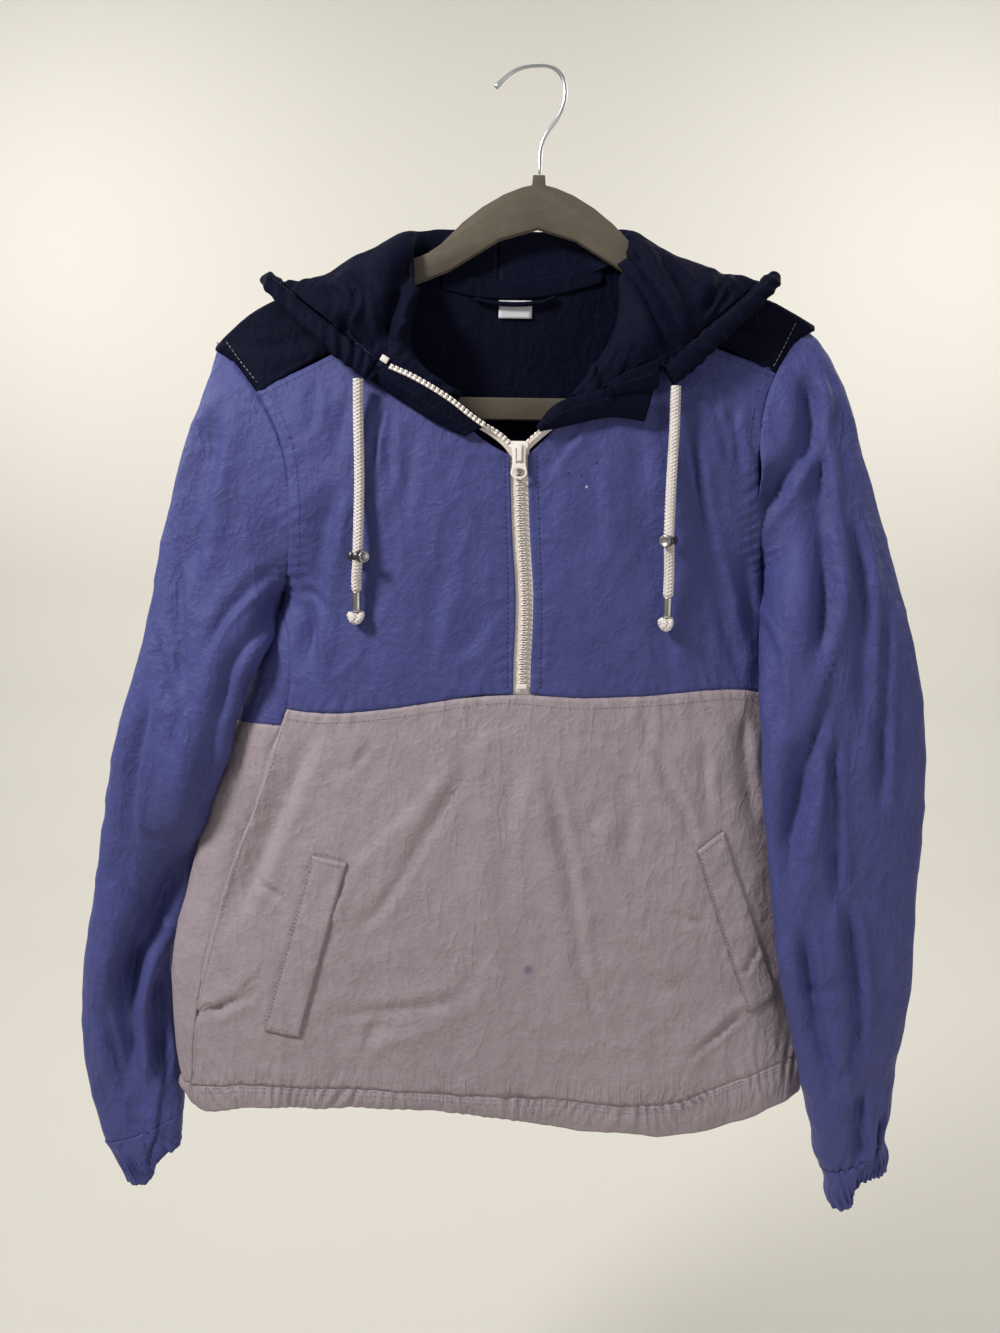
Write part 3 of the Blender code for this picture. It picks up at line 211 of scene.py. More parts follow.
def makeNylon(name):
    facts = nylons[name]
    onHem, onChest = name == "lilacNylon", name == "periwinkleNylon"
    look = Look(name, {"Sheen Weight": facts["sheen"], "Sheen Roughness": 0.4,
                       "Specular IOR Level": facts["gloss"]})
    crushed = look.warped(38, 0.012)
    facets = look.add("ShaderNodeTexVoronoi", {"feature": "SMOOTH_F1"},
                      {"Vector": crushed, "Scale": 62, "Smoothness": 0.35})
    veins = look.cloudy(46, 3, 0.55, look.warped(21, 0.02)).ridge(7)
    fine = look.cloudy(210, 3, 0.6)
    small = look.cloudy(120, 2, 0.5, crushed).ridge(9)
    weave = (look.axis("x") * nylonWeave).wave() * (look.axis("z") * nylonWeave).wave()
    patch = look.cloudy(11, 3, 0.6)
    colour = look.mix(patch.above(0.35, 1.5) * 0.55, facts["colour"], facts["dark"])
    # the crinkle ridges (veins and small) are painted lighter: a painted highlight along the ridges that
    # the bump raises
    ridgeHighlight = [c * 1.25 for c in facts["colour"]]
    colour = look.mix(veins * 0.22 + small * 0.10, colour, ridgeHighlight)
    colour = look.mix((weave * 0.5 + 0.5) * 0.10, colour, facts["dark"])
    for point, radius, tint in specks[name]:
        colour = look.mix(look.spot(point, radius), colour, tint)
    rough = facts["rough"] + (fine - 0.5) * 0.22 - veins * 0.07 + patch * 0.08
    # two families of long creases, each where the other is not
    oneWay = look.stretched((1, 1, 0.34), (0, 0.85 if onHem else 0.3, 0))
    otherWay = look.stretched((1, 1, 0.38), (0, -0.9 if onHem else -0.5, 0))
    hang = look.cloudy(40, 3, 0.5, oneWay).ridge(11) ** 2
    lean = look.cloudy(34, 3, 0.5, otherWay).ridge(11) ** 2
    where = look.cloudy(14, 2, 0.5).above(0.42, 5)
    loose = ((look.axis("x") + 0.02).size() * 9 - 1.2).held() if onChest else 0.7
    relief = (facets * 0.55 + veins * 0.28 + (hang * where * 0.9 + lean * (1 - where) * 0.8) * loose
              + small * 0.24 + fine * 0.16 + weave * 0.03)
    if onHem:
        # gathers of the hem's elastic
        band = (1 - (look.axis("z") + hemHeight).size() * 32).held()
        pleats = look.cloudy(150, 2, 0.5, look.stretched((1, 1, 0.14))).ridge(7)
        relief = relief + pleats * band * 1.1
    return look.finish(colour, rough, relief, 0.0022, facts["crinkle"])


def makeTape():
    look = Look("zipTapeWeave", {"Specular IOR Level": 0.25, "Sheen Weight": 0.1})
    rib = (look.axis("z") * tapeRib + (look.axis("x") * tapeWarp).wave() * 1.2).wave()
    worn = look.cloudy(60, 3, 0.6)
    colour = look.mix(worn.above(0.4, 2) * 0.5, (0.92, 0.83, 0.76), (0.80, 0.71, 0.64))
    colour = look.mix((rib * 0.5 + 0.5) * 0.15, colour, (0.62, 0.54, 0.49))
    return look.finish(colour, 0.72 + worn * 0.15, rib + worn, 0.0003, 0.6)


def makeMoulding():
    look = Look("creamMoulding", {"Specular IOR Level": 0.5, "Coat Weight": 0.12, "Coat Roughness": 0.3})
    grime = look.cloudy(240, 3, 0.6)
    patch = look.cloudy(45, 2, 0.5)
    colour = look.mix(patch.above(0.4, 1.6) * 0.4, (0.88, 0.81, 0.74), (0.76, 0.68, 0.61))
    colour = look.mix(grime.above(0.55, 4) * 0.35, colour, (0.36, 0.30, 0.27))
    return look.finish(colour, 0.34 + grime * 0.22, grime * 0.6 + patch, 0.0004, 0.35)


def makeBraid():
    look = Look("herringboneBraid", {"Specular IOR Level": 0.25, "Sheen Weight": 0.2})
    along, across = look.axis("z") * 2417, look.axis("x") * 1500
    fuzz = look.cloudy(900, 2, 0.6)
    soil = look.cloudy(70, 3, 0.6)
    strand = look.add("ShaderNodeMath", {"operation": "MAXIMUM"},
                      {0: (along + across).wave(), 1: (along - across).wave()})
    # painted shade: the colour darkens between the strands, where the bump sinks
    colour = look.mix(((0.35 - strand) * 0.9).held() * 0.75, (0.78, 0.72, 0.665), (0.36, 0.31, 0.28))
    colour = look.mix(soil.above(0.45, 2.4) * 0.4, colour, (0.40, 0.35, 0.33))
    return look.finish(colour, 0.78 + fuzz * 0.12, strand * 0.6 + fuzz * 0.5, 0.0004, 0.6)


def makeThread(name, colour, dark):
    look = Look(name, {"Specular IOR Level": 0.3, "Sheen Weight": 0.15})
    twist = (look.axis("z") * 9000 + look.axis("x") * 9000).wave() * 0.5 + 0.5
    tint = look.mix(twist * 0.45 + look.cloudy(120, 2, 0.5) * 0.25, colour, dark)
    return look.finish(tint, 0.62 + twist * 0.15, twist, 0.0001, 0.5)


def makeFlock():
    look = Look("taupeFlock", {"Sheen Weight": 0.35, "Sheen Roughness": 0.45, "Specular IOR Level": 0.15})
    nap = look.cloudy(1500, 2, 0.7)
    brushed = look.cloudy(70, 3, 0.6, look.stretched((1, 1, 2.2)))
    rubbed = look.cloudy(24, 2, 0.5)
    colour = look.mix(nap * 0.7, (0.130, 0.108, 0.080), (0.072, 0.058, 0.041))
    colour = look.mix(brushed.above(0.5, 3) * 0.3, colour, (0.20, 0.175, 0.135))
    colour = look.mix(rubbed.above(0.55, 3) * 0.3, colour, (0.07, 0.058, 0.042))
    return look.finish(colour, 0.86 + nap * 0.1, nap + brushed * 0.5, 0.0004, 0.7)


def makeMetal(name, colour, rough, scratch, scale):
    look = Look(name, {"Metallic": 1.0, "Specular IOR Level": 0.5})
    brushed = look.cloudy(scale, 3, 0.6, look.stretched((1, 1, 0.12)))
    tarnish = look.cloudy(90, 3, 0.6)
    dark = [c * 0.55 for c in colour]
    tint = look.mix(tarnish.above(0.45, 2.2) * 0.45, colour, dark)
    return look.finish(tint, rough + (brushed - 0.5) * 0.2 + tarnish * 0.1, brushed + tarnish, 0.0003,
                       scratch)


def makeLabel():
    look = Look("labelSatin", {"Specular IOR Level": 0.35, "Sheen Weight": 0.2})
    grain = (look.axis("z") * labelRib).wave() * (look.axis("x") * labelWarp).wave()
    crease = look.cloudy(140, 2, 0.5)
    colour = look.mix((grain * 0.5 + 0.5) * 0.2 + crease * 0.15, (0.70, 0.70, 0.72), (0.5, 0.5, 0.54))
    return look.finish(colour, 0.5 + crease * 0.2, grain * 0.4 + crease, 0.0004, 0.5)


periwinkle = makeNylon("periwinkleNylon")
navy = makeNylon("navyNylon")
lilac = makeNylon("lilacNylon")
tapeWeave = makeTape()
moulding = makeMoulding()
braid = makeBraid()
flock = makeFlock()
platedWire = makeMetal("zincWire", (0.60, 0.61, 0.62), 0.30, 0.25, 500)
satinMetal = makeMetal("satinMetal", (0.46, 0.44, 0.41), 0.30, 0.25, 700)
darkMetal = makeMetal("darkBarrel", (0.16, 0.15, 0.15), 0.34, 0.2, 700)
labelSatin = makeLabel()
whiteThread = makeThread("whiteThread", (0.44, 0.41, 0.40), (0.24, 0.22, 0.22))
navyThread = makeThread("navyThread", (0.0085, 0.0092, 0.022), (0.0045, 0.005, 0.013))
blueThread = makeThread("blueThread", (0.024, 0.027, 0.095), (0.012, 0.013, 0.052))
# the zip chain's core cord, coloured darker than the tape as painted shade that shows in the gaps between
# the teeth
coreShadeThread = makeThread("coreShadeThread", (0.42, 0.345, 0.30), (0.30, 0.24, 0.21))
lilacThread = makeThread("lilacThread", (0.24, 0.19, 0.21), (0.15, 0.12, 0.135))
print("materials made")


# folds, in millimetres: width, depth, and the line that each follows as x, z
frontFolds = [
    (9, 3, [(-146, -284), (-149, -319), (-156, -355), (-163, -397), (-171, -443)]),
    (4, 1.6, [(-110, -238), (-115, -262), (-117, -287)]),
    (5, 1.2, [(-105, -233), (-103, -262), (-105, -304)]),
    (6, 1.5, [(-135, -230), (-140, -256), (-145, -284)]),
    (4, 1.2, [(-161, -217), (-158, -236), (-163, -263)]),
    (6, 1, [(-84, -248), (-89, -283), (-93, -325)]),
    (5, 2, [(-169, -371), (-161, -406), (-159, -443)]),
    (3, 1, [(-173, -368), (-160, -374), (-146, -385)]),
    (3, 0.9, [(-54, -246), (-44, -255), (-37, -265)]),
    (8, 0.8, [(-24, -375), (-40, -398), (-56, -423)]),
    (10, 1, [(-68, -346), (-72, -397), (-75, -442)]),
    (7, 3, [(108, -240), (115, -280), (123, -315), (135, -358), (149, -402), (163, -439)]),
    (5, 1.8, [(143, -231), (147, -259), (155, -286)]),
    (6, 3, [(156, -337), (163, -372), (167, -409)]),
    (5, 1.2, [(31, -253), (19, -267), (8, -285)]),
    (8, 1, [(73, -246), (79, -302), (85, -373)]),
    (8, 0.8, [(45, -253), (43, -288), (48, -345)]),
    (8, 1.2, [(120, -344), (127, -387), (134, -439)]),
    (8, 1, [(93, -388), (102, -417), (110, -447)]),
    (4, 1.2, [(125, -218), (136, -252), (144, -280)]),
    (10, 3, [(-158, -463), (-171, -496), (-193, -548), (-219, -611), (-241, -648)]),
    (3, 1.6, [(-211, -589), (-194, -600), (-179, -612)]),
    (4.5, 2, [(-35, -470), (-55, -517), (-81, -562), (-113, -616), (-141, -632)]),
    (4, 0.8, [(-78, -605), (-62, -653), (-57, -689)]),
    (4, 1.6, [(-27, -635), (-43, -673), (-57, -689), (-97, -697), (-162, -706)]),
    (3, 1.4, [(-253, -706), (-221, -689), (-204, -680)]),
    (3, 1.2, [(-272, -715), (-249, -702), (-231, -699)]),
    (5, 2, [(-219, -497), (-226, -543), (-237, -591), (-254, -648)]),
    (4, 1, [(-113, -478), (-126, -495), (-138, -511)]),
    (5, 2.2, [(10, -483), (24, -539), (36, -596), (44, -654), (57, -696), (72, -737)]),
    (4, 2, [(93, -481), (98, -491), (117, -531), (131, -562)]),
    (4, 1.4, [(83, -453), (88, -469), (93, -482)]),
    (5, 1.4, [(129, -473), (132, -491), (138, -548)]),
    (6, 2, [(162, -457), (167, -503), (177, -548)]),
    (6, 1.3, [(57, -492), (77, -522), (75, -577)]),
    (3, 1.2, [(108, -611), (125, -619), (142, -622)]),
    (4, 2, [(178, -701), (157, -716), (123, -747)]),
    (3, 1.5, [(185, -645), (179, -658), (172, -670)]),
    (8, 1, [(77, -632), (96, -665), (119, -688)]),
    (5, 1.2, [(-129, -738), (-119, -712), (-103, -695)]),
    (6, 1.2, [(-7, -494), (-15, -556), (-16, -628)]),
]
backFolds = [
    (10, 2.6, [(-150, -320), (-158, -380), (-170, -440), (-190, -520)]),
    (7, 1.6, [(-90, -312), (-84, -372), (-92, -446)]),
    (8, 1.8, [(-20, -305), (-26, -350), (-18, -420), (-24, -470)]),
    (6, 1.4, [(42, -318), (54, -380), (50, -430)]),
    (9, 2.4, [(128, -310), (136, -370), (152, -440)]),
    (5, 1.3, [(-120, -330), (-60, -352), (10, -340)]),
    (4, 1.2, [(60, -330), (110, -352), (160, -340)]),
    (10, 2.6, [(-200, -500), (-214, -570), (-236, -650), (-244, -720)]),
    (8, 1.8, [(-120, -490), (-132, -560), (-126, -640), (-140, -710)]),
    (6, 1.4, [(-60, -480), (-48, -540), (-60, -620)]),
    (9, 2.2, [(14, -480), (26, -560), (18, -650), (30, -740)]),
    (6, 1.3, [(80, -500), (92, -560), (84, -640)]),
    (9, 2.2, [(150, -470), (166, -550), (180, -640), (196, -720)]),
    (4, 1.3, [(-250, -700), (-190, -716), (-130, -700)]),
    (4, 1.2, [(-20, -700), (50, -720), (120, -704)]),
    (5, 1.2, [(-180, -600), (-150, -640), (-100, -660)]),
]
sleeveLeftFolds = [
    (10, 3, [(-232, -235), (-239, -284), (-248, -335), (-257, -379)]),
    (5, 2.4, [(-181, -364), (-200, -396), (-220, -430), (-226, -474)]),
    (4, 1.5, [(-184, -352), (-210, -374), (-232, -404), (-244, -440)]),
    (5, 2, [(-265, -340), (-260, -378), (-258, -410), (-255, -450)]),
    (4, 1.6, [(-278, -411), (-270, -439), (-262, -460)]),
    (4, 1.6, [(-256, -457), (-262, -480), (-258, -505)]),
    (9, 5.5, [(-267, -574), (-293, -632), (-317, -687), (-329, -734)]),
    (7, 5, [(-311, -650), (-320, -725), (-317, -790)]),
    (5, 4, [(-300, -689), (-300, -742), (-297, -790)]),
    (6, 2.6, [(-222, -435), (-240, -502), (-256, -561)]),
    (6, 2.6, [(-284, -446), (-299, -510), (-309, -576)]),
    (3, 1.2, [(-285, -395), (-274, -416), (-270, -436)]),
    (4, 1.4, [(-320, -599), (-310, -619), (-295, -627)]),
    (4, 1.4, [(-340, -708), (-334, -743), (-329, -778)]),
]
sleeveRightFolds = [
    (7, 5, [(196, -200), (204, -236), (200, -262), (184, -286), (168, -322)]),
    (7, 6, [(207, -245), (211, -292), (216, -356), (214, -390), (206, -440)]),
    (9, 5, [(212, -440), (205, -503), (198, -562), (201, -611)]),
    (6, 3.6, [(236, -300), (246, -360), (247, -420), (250, -480)]),
    (5, 3, [(224, -470), (230, -540), (238, -610)]),
    (5, 2.6, [(268, -371), (265, -443), (268, -549)]),
    (6, 3.4, [(243, -591), (258, -666), (266, -743)]),
    (6, 3.6, [(210, -615), (226, -691), (249, -769)]),
    (5, 3, [(268, -760), (272, -800), (280, -836)]),
    (4, 2.6, [(288, -780), (292, -812), (290, -840)]),
    (4, 1.6, [(205, -667), (225, -670), (251, -658)]),
    (4, 1.4, [(268, -699), (256, -725), (249, -759)]),
    (4, 1.4, [(172, -372), (181, -416), (183, -476)]),
    (4, 1.4, [(175, -265), (172, -300), (168, -329)]),
]
sleeveLeftBack = [
    (8, 2.6, [(-240, -260), (-246, -330), (-262, -400)]),
    (6, 2, [(-205, -390), (-236, -404), (-262, -430)]),
    (7, 2.2, [(-250, -450), (-276, -520), (-296, -590)]),
    (6, 2, [(-300, -600), (-322, -660), (-330, -730)]),
    (5, 1.6, [(-320, -720), (-312, -770), (-318, -810)]),
    (4, 1.4, [(-270, -560), (-290, -580), (-316, -576)]),
]
sleeveRightBack = [
    (8, 2.4, [(214, -240), (222, -320), (230, -400)]),
    (6, 2, [(196, -380), (222, -400), (250, -396)]),
    (7, 2.2, [(226, -430), (240, -520), (246, -600)]),
    (6, 1.8, [(240, -620), (262, -690), (270, -760)]),
    (4, 1.4, [(214, -560), (236, -580), (262, -574)]),
    (5, 1.6, [(276, -700), (284, -760), (290, -800)]),
]
hoodFolds = [
    (6, 4.2, [(-72, -118), (-96, -152), (-104, -186), (-106, -212)]),
    (4, 5, [(55, -120), (73, -144), (84, -165), (99, -200)]),
    (3.5, 3.5, [(-133, -153), (-127, -168), (-134, -187), (-118, -201)]),
    (3.5, 3, [(-95, -151), (-100, -168), (-104, -194)]),
    (3, 2.5, [(138, -136), (126, -159), (115, -176)]),
    (7, 3.6, [(-154, -152), (-138, -168), (-140, -200)]),
    (4, 1.4, [(-124, -150), (-120, -178), (-112, -204)]),
    (3, 1.2, [(-95, -178), (-104, -184), (-114, -180)]),
    (7, 4.2, [(62, -116), (78, -142), (90, -172), (104, -210)]),
    (5, 2.2, [(84, -128), (104, -150), (120, -178)]),
    (4, 1.2, [(58, -150), (52, -182), (44, -214)]),
    (4, 1.4, [(140, -152), (126, -172), (118, -196)]),
]
hoodBack = [
    (8, 2.6, [(-150, -190), (-120, -260), (-80, -330), (-60, -372)]),
    (6, 1.8, [(-100, -180), (-84, -250), (-64, -310)]),
    (5, 1.5, [(-28, -160), (-34, -230), (-30, -300)]),
    (8, 2.4, [(120, -190), (86, -262), (40, -330), (10, -370)]),
    (6, 1.8, [(70, -180), (44, -250), (16, -316)]),
    (4, 1.4, [(-140, -220), (-60, -236), (10, -226)]),
    (4, 1.4, [(20, -280), (60, -262), (110, -230)]),
    (5, 1.5, [(-90, -340), (-40, -352), (16, -344)]),
]
yokeFolds = [
    (4, 1.2, [(-210, -192), (-180, -190), (-140, -172)]),
    (3, 1, [(-196, -216), (-160, -200), (-128, -186)]),
    (4, 1.2, [(190, -182), (160, -178), (124, -160)]),
    (3, 1, [(170, -200), (140, -188), (112, -178)]),
]
yokeBack = [
    (7, 1.6, [(-190, -210), (-130, -226), (-60, -220)]),
    (7, 1.6, [(40, -222), (110, -228), (176, -206)]),
    (5, 1.3, [(-170, -260), (-90, -272), (0, -262)]),
    (5, 1.3, [(30, -276), (100, -264), (168, -270)]),
]


# puckers along the seams: pitch, height, how far they reach, and the seam as x, z
armLeft = [(-187.9, -377), (-180, -358), (-177, -327), (-178, -291), (-185, -258), (-203, -228),
           (-227, -199)]
armRight = [(175.9, -352), (170, -335), (166, -310), (164, -265), (167, -231), (176, -208), (194, -178)]
armLeftBack = [(-227, -199), (-207, -245), (-197, -290), (-192, -335), (-187.9, -377)]
armRightBack = [(195, -186), (182, -225), (175, -270), (174, -315), (175.9, -352)]
chestSeam = [(-300, -462), (-183, -459), (-156, -461), (-114, -457), (-66, -449), (-37, -444), (-7, -443),
             (33, -446), (90, -444), (135, -440.5), (158, -440.5), (175, -444.5), (240, -451)]
backChestSeam = [(-300, -473), (-178, -472), (200, -451), (240, -450)]
hemSeam = [(-300, -778), (-262, -775), (-218, -767), (-115, -766), (-39, -771), (30, -773), (76, -780),
           (123, -778), (146, -770), (181, -759), (220, -748), (240, -745)]
sideSeam = [(-262, -830), (-270, -780), (-260, -700), (-232, -600), (-197, -505), (-190, -480),
            (-182, -459), (-178, -430), (-180, -400)]
yokeLeft = [(-203, -228), (-148, -200), (-112, -184)]
yokeRight = [(176, -208), (126, -190), (98, -180)]
zipLeft = [(-17.7, -440), (-18, -374), (-20.3, -317), (-21.7, -270)]
zipRight = [(6.6, -440), (6, -374), (3.4, -317), (1.0, -271)]
casingLeft = [(-198, -146), (-172, -166), (-136, -192), (-96, -222), (-40, -256)]
casingRight = [(174, -142), (146, -166), (116, -190), (86, -212), (40, -240)]
welts = {"left": ((-162, -571), (-138, -576), (-203, -715), (-177, -719)),
         "right": ((130, -564), (149, -551), (179, -700), (200, -688))}
frontPuckers = [
    (7, 1.0, 12, armLeft), (7, 1.4, 13, armRight), (9, 0.9, 12, chestSeam), (8, 1.9, 17, hemSeam),
    (9, 0.45, 9, yokeLeft), (9, 0.45, 9, yokeRight), (9, 0.6, 8, zipLeft), (9, 0.6, 8, zipRight),
    (13, 0.4, 10, sideSeam),
    (9, 0.6, 8, [(-162, -571), (-203, -715)]), (11, 0.4, 8, [(-138, -576), (-177, -719)]),
    (10, 0.5, 8, [(130, -564), (179, -700)]), (10, 0.5, 8, [(149, -551), (200, -688)]),
]
backPuckers = [
    (7, 1.0, 12, armLeftBack), (7, 1.1, 12, armRightBack), (9, 0.9, 12, backChestSeam),
    (8, 1.9, 17, hemSeam), (10, 0.5, 10, [(-230, -300), (0, -300), (200, -300)]),
]
sleeveLeftPuckers = [(7, 1.0, 12, armLeft), (9, 1.0, 24, [(-290, -840), (-350, -862)])]
sleeveRightPuckers = [(7, 1.5, 13, armRight), (9, 1.3, 26, [(244, -836), (316, -858)]),
                      (10, 0.7, 8, [(286, -400), (280, -500), (276, -620)])]
hoodPuckers = [(9, 1.4, 17, casingLeft), (8, 1.8, 18, casingRight), (8, 0.7, 8, [(-28, -110), (-26, -150)])]


def bent(line, steps=5):
    # a smooth line through the points
    points = np.array(line, float)
    if len(points) < 3:
        return points
    ends = np.vstack([2 * points[0] - points[1], points, 2 * points[-1] - points[-2]])
    made = []
    for a, b, c, d in zip(ends, ends[1:], ends[2:], ends[3:]):
        for k in range(steps):
            t = k / steps
            made.append(0.5 * (2 * b + (c - a) * t + (2 * a - 5 * b + 4 * c - d) * t ** 2
                               + (3 * b - a - 3 * c + d) * t ** 3))
    made.append(points[-1])
    return np.array(made)


def nearLine(points, line):
    # signed distance to a line, how far along it, and its length, in millimetres
    best = np.full(len(points), 1e9)
    side = np.zeros(len(points))
    run = np.zeros(len(points))
    past = 0.0
    for a, b in zip(line, line[1:]):
        step = b - a
        length = np.hypot(*step)
        rel = points - a
        share = np.clip((rel @ step) / length ** 2, 0, 1)
        off = rel - share[:, None] * step
        away = np.hypot(off[:, 0], off[:, 1])
        nearer = away < best
        best = np.where(nearer, away, best)
        turn = np.sign(step[0] * rel[:, 1] - step[1] * rel[:, 0])
        side = np.where(nearer, turn, side)
        run = np.where(nearer, past + share * length, run)
        past += length
    return best * side, run, past


def closeTo(points, line, reach):
    # which points are near a smooth line, their signed distance, how far along, and the line's length
    line = bent(line)
    inside = (points > line.min(axis=0) - reach) & (points < line.max(axis=0) + reach)
    near = np.where(np.all(inside, axis=1))[0]
    return (near, *nearLine(points[near], line))


# a fold's narrow and wide side, where its lips lie, and how much of its length fades at each end
foldSize, narrowSide, wideSide, lipAway, fadeIn, fadeOut = 1.8, 0.6, 1.35, 2.1, 0.22, 0.3


def foldHeight(points, folds):
    # a soft trough between two lips, narrower on one side, that fades towards its ends
    total = np.zeros(len(points))
    for number, (width, depth, line) in enumerate(folds):
        near, away, run, length = closeTo(points, line, 5 * width)
        share = run / length
        fade = np.clip(np.minimum(share / fadeIn, (1 - share) / fadeOut), 0, 1)
        fade = fade * fade * (3 - 2 * fade)
        fade *= 0.8 + 0.2 * np.sin(share * 9 + number * 1.7)
        broad = np.where(away > 0, width * narrowSide, width * wideSide)
        dip = np.exp(-(away / broad) ** 2)
        lip = np.exp(-((np.abs(away) - lipAway * broad) / (1.2 * broad)) ** 2)
        total[near] += fade * depth * foldSize * (0.42 * lip - dip)
    return total


def puckerHeight(points, puckers):
    # short waves across a seam, and the seam's own groove
    total = np.zeros(len(points))
    for pitch, height, reach, line in puckers:
        near, away, run, length = closeTo(points, line, 3 * reach)
        sway = run + 3.4 * np.sin(run / 17.0) + 1.9 * np.sin(run / 7.3 + 1.0)
        sway += away * 0.35 * np.sin(run / 31.0)
        size = 0.55 + 0.45 * np.sin(run / 23.0 + 0.8) * np.sin(run / 11.0)
        gone = np.exp(-(away / reach) ** 2) * (1 - 0.65 * np.exp(-(away / 2.0) ** 2))
        total[near] += height * size * np.sin(2 * math.pi * sway / pitch) * gone
        total[near] -= 0.5 * np.exp(-(away / 1.6) ** 2)
    return total


def crumple(points, seed, amount):
    # broad slack, and sharper wrinkles that hang mostly downwards
    made = np.empty(len(points))
    for k, (x, y, z) in enumerate(points):
        warp = noise.noise((x * 0.011 + seed, y * 0.011, z * 0.011)) * 14
        broad = noise.noise((x * 0.020 + seed, y * 0.020, z * 0.0085 + 3))
        middle = noise.noise((x * 0.046 + warp * 0.05, y * 0.046 + seed, z * 0.026))
        small = noise.noise((x * 0.11 + warp * 0.1, y * 0.11, z * 0.085 + seed))
        tiny = noise.noise((x * 0.23, y * 0.23 + seed, z * 0.20))
        ridge = 0.42 - abs(middle) * 2.1
        made[k] = 1.6 * broad + 1.1 * max(ridge, -0.35) + 0.3 * (0.3 - abs(small) * 1.6) + 0.08 * tiny
    return made * amount


def solidOf(node, near=0.01):
    solid = bmesh.new()
    solid.from_mesh(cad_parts[node].data)
    bmesh.ops.remove_doubles(solid, verts=solid.verts, dist=near * mm)
    return solid


def quadsOf(solid, faceAngle, shapeAngle):
    bmesh.ops.join_triangles(solid, faces=solid.faces, angle_face_threshold=math.radians(faceAngle),
                             angle_shape_threshold=math.radians(shapeAngle))


def meshFrom(solid, name):
    mesh = bpy.data.meshes.new(name)
    solid.to_mesh(mesh)
    solid.free()
    return mesh


def refined(name, mesh, levels):
    # the mesh after smooth subdivision
    base = linked(name + "_base", mesh)
    fine = base.modifiers.new("fine", "SUBSURF")
    fine.levels = levels
    fine.render_levels = levels
    fine.boundary_smooth = "PRESERVE_CORNERS"
    bpy.context.view_layer.update()
    made = bpy.data.meshes.new_from_object(base.evaluated_get(bpy.context.evaluated_depsgraph_get()))
    bpy.data.objects.remove(base)
    return made


# a wall's cut edge is this high, in metres
thinnest, thickest = 0.0008, 0.00165


def skinsOf(node, grow):
    # the solid's own form: quads, with the cloth's cut edge kept apart from its two faces
    solid = solidOf(node, 0.02)
    quadsOf(solid, 70, 150)
    bmesh.ops.recalc_face_normals(solid, faces=solid.faces)
    solid.faces.ensure_lookup_table()
    creased = solid.edges.layers.float.new("crease_edge")
    edgeOn = set()
    for face in solid.faces:
        walls = sum(1 for edge in face.edges if thinnest < edge.calc_length() < thickest)
        if walls >= (2 if len(face.verts) > 3 else 1):
            edgeOn.add(face.index)
    for edge in solid.edges:
        rims = sum(1 for face in edge.link_faces if face.index in edgeOn)
        if rims == 1 or (rims == 2 and edge.calc_face_angle(0) > math.radians(35)):
            edge[creased] = 1.0
    ways = {}
    for face in solid.faces:
        if face.index in edgeOn:
            for vert in face.verts:
                ways.setdefault(vert, []).append(face.normal.copy())
    for vert, normals in ways.items():
        way = sum(normals, Vector()).normalized()
        vert.co += way * grow * mm / max(0.5, min(way.dot(normal) for normal in normals))
    left = {face.index for face in solid.faces} - edgeOn
    skins = []
    while left:
        todo = [left.pop()]
        skin = []
        while todo:
            face = solid.faces[todo.pop()]
            skin.append(face)
            for edge in face.edges:
                for other in edge.link_faces:
                    if other.index in left:
                        left.discard(other.index)
                        todo.append(other.index)
        skins.append(skin)
    return solid, skins


def outwards(faces, middle, facing):
    if facing:
        return sum(face.calc_area() * face.normal.dot(Vector(facing)) for face in faces)
    return sum(face.calc_area() * face.normal.dot(face.calc_center_median() - middle) for face in faces)


def readInto(values, items, field, width=1):
    made = np.empty(len(items) * width, values)
    items.foreach_get(field, made)
    return made.reshape(-1, width) if width > 1 else made


shells = {}
outerFace, innerFace, cutEdge = range(3)
# how sharply folds pass from the front's to the back's, and how far the cuffs' drawing in reaches
turnRate, drawReach = 1.6, 11


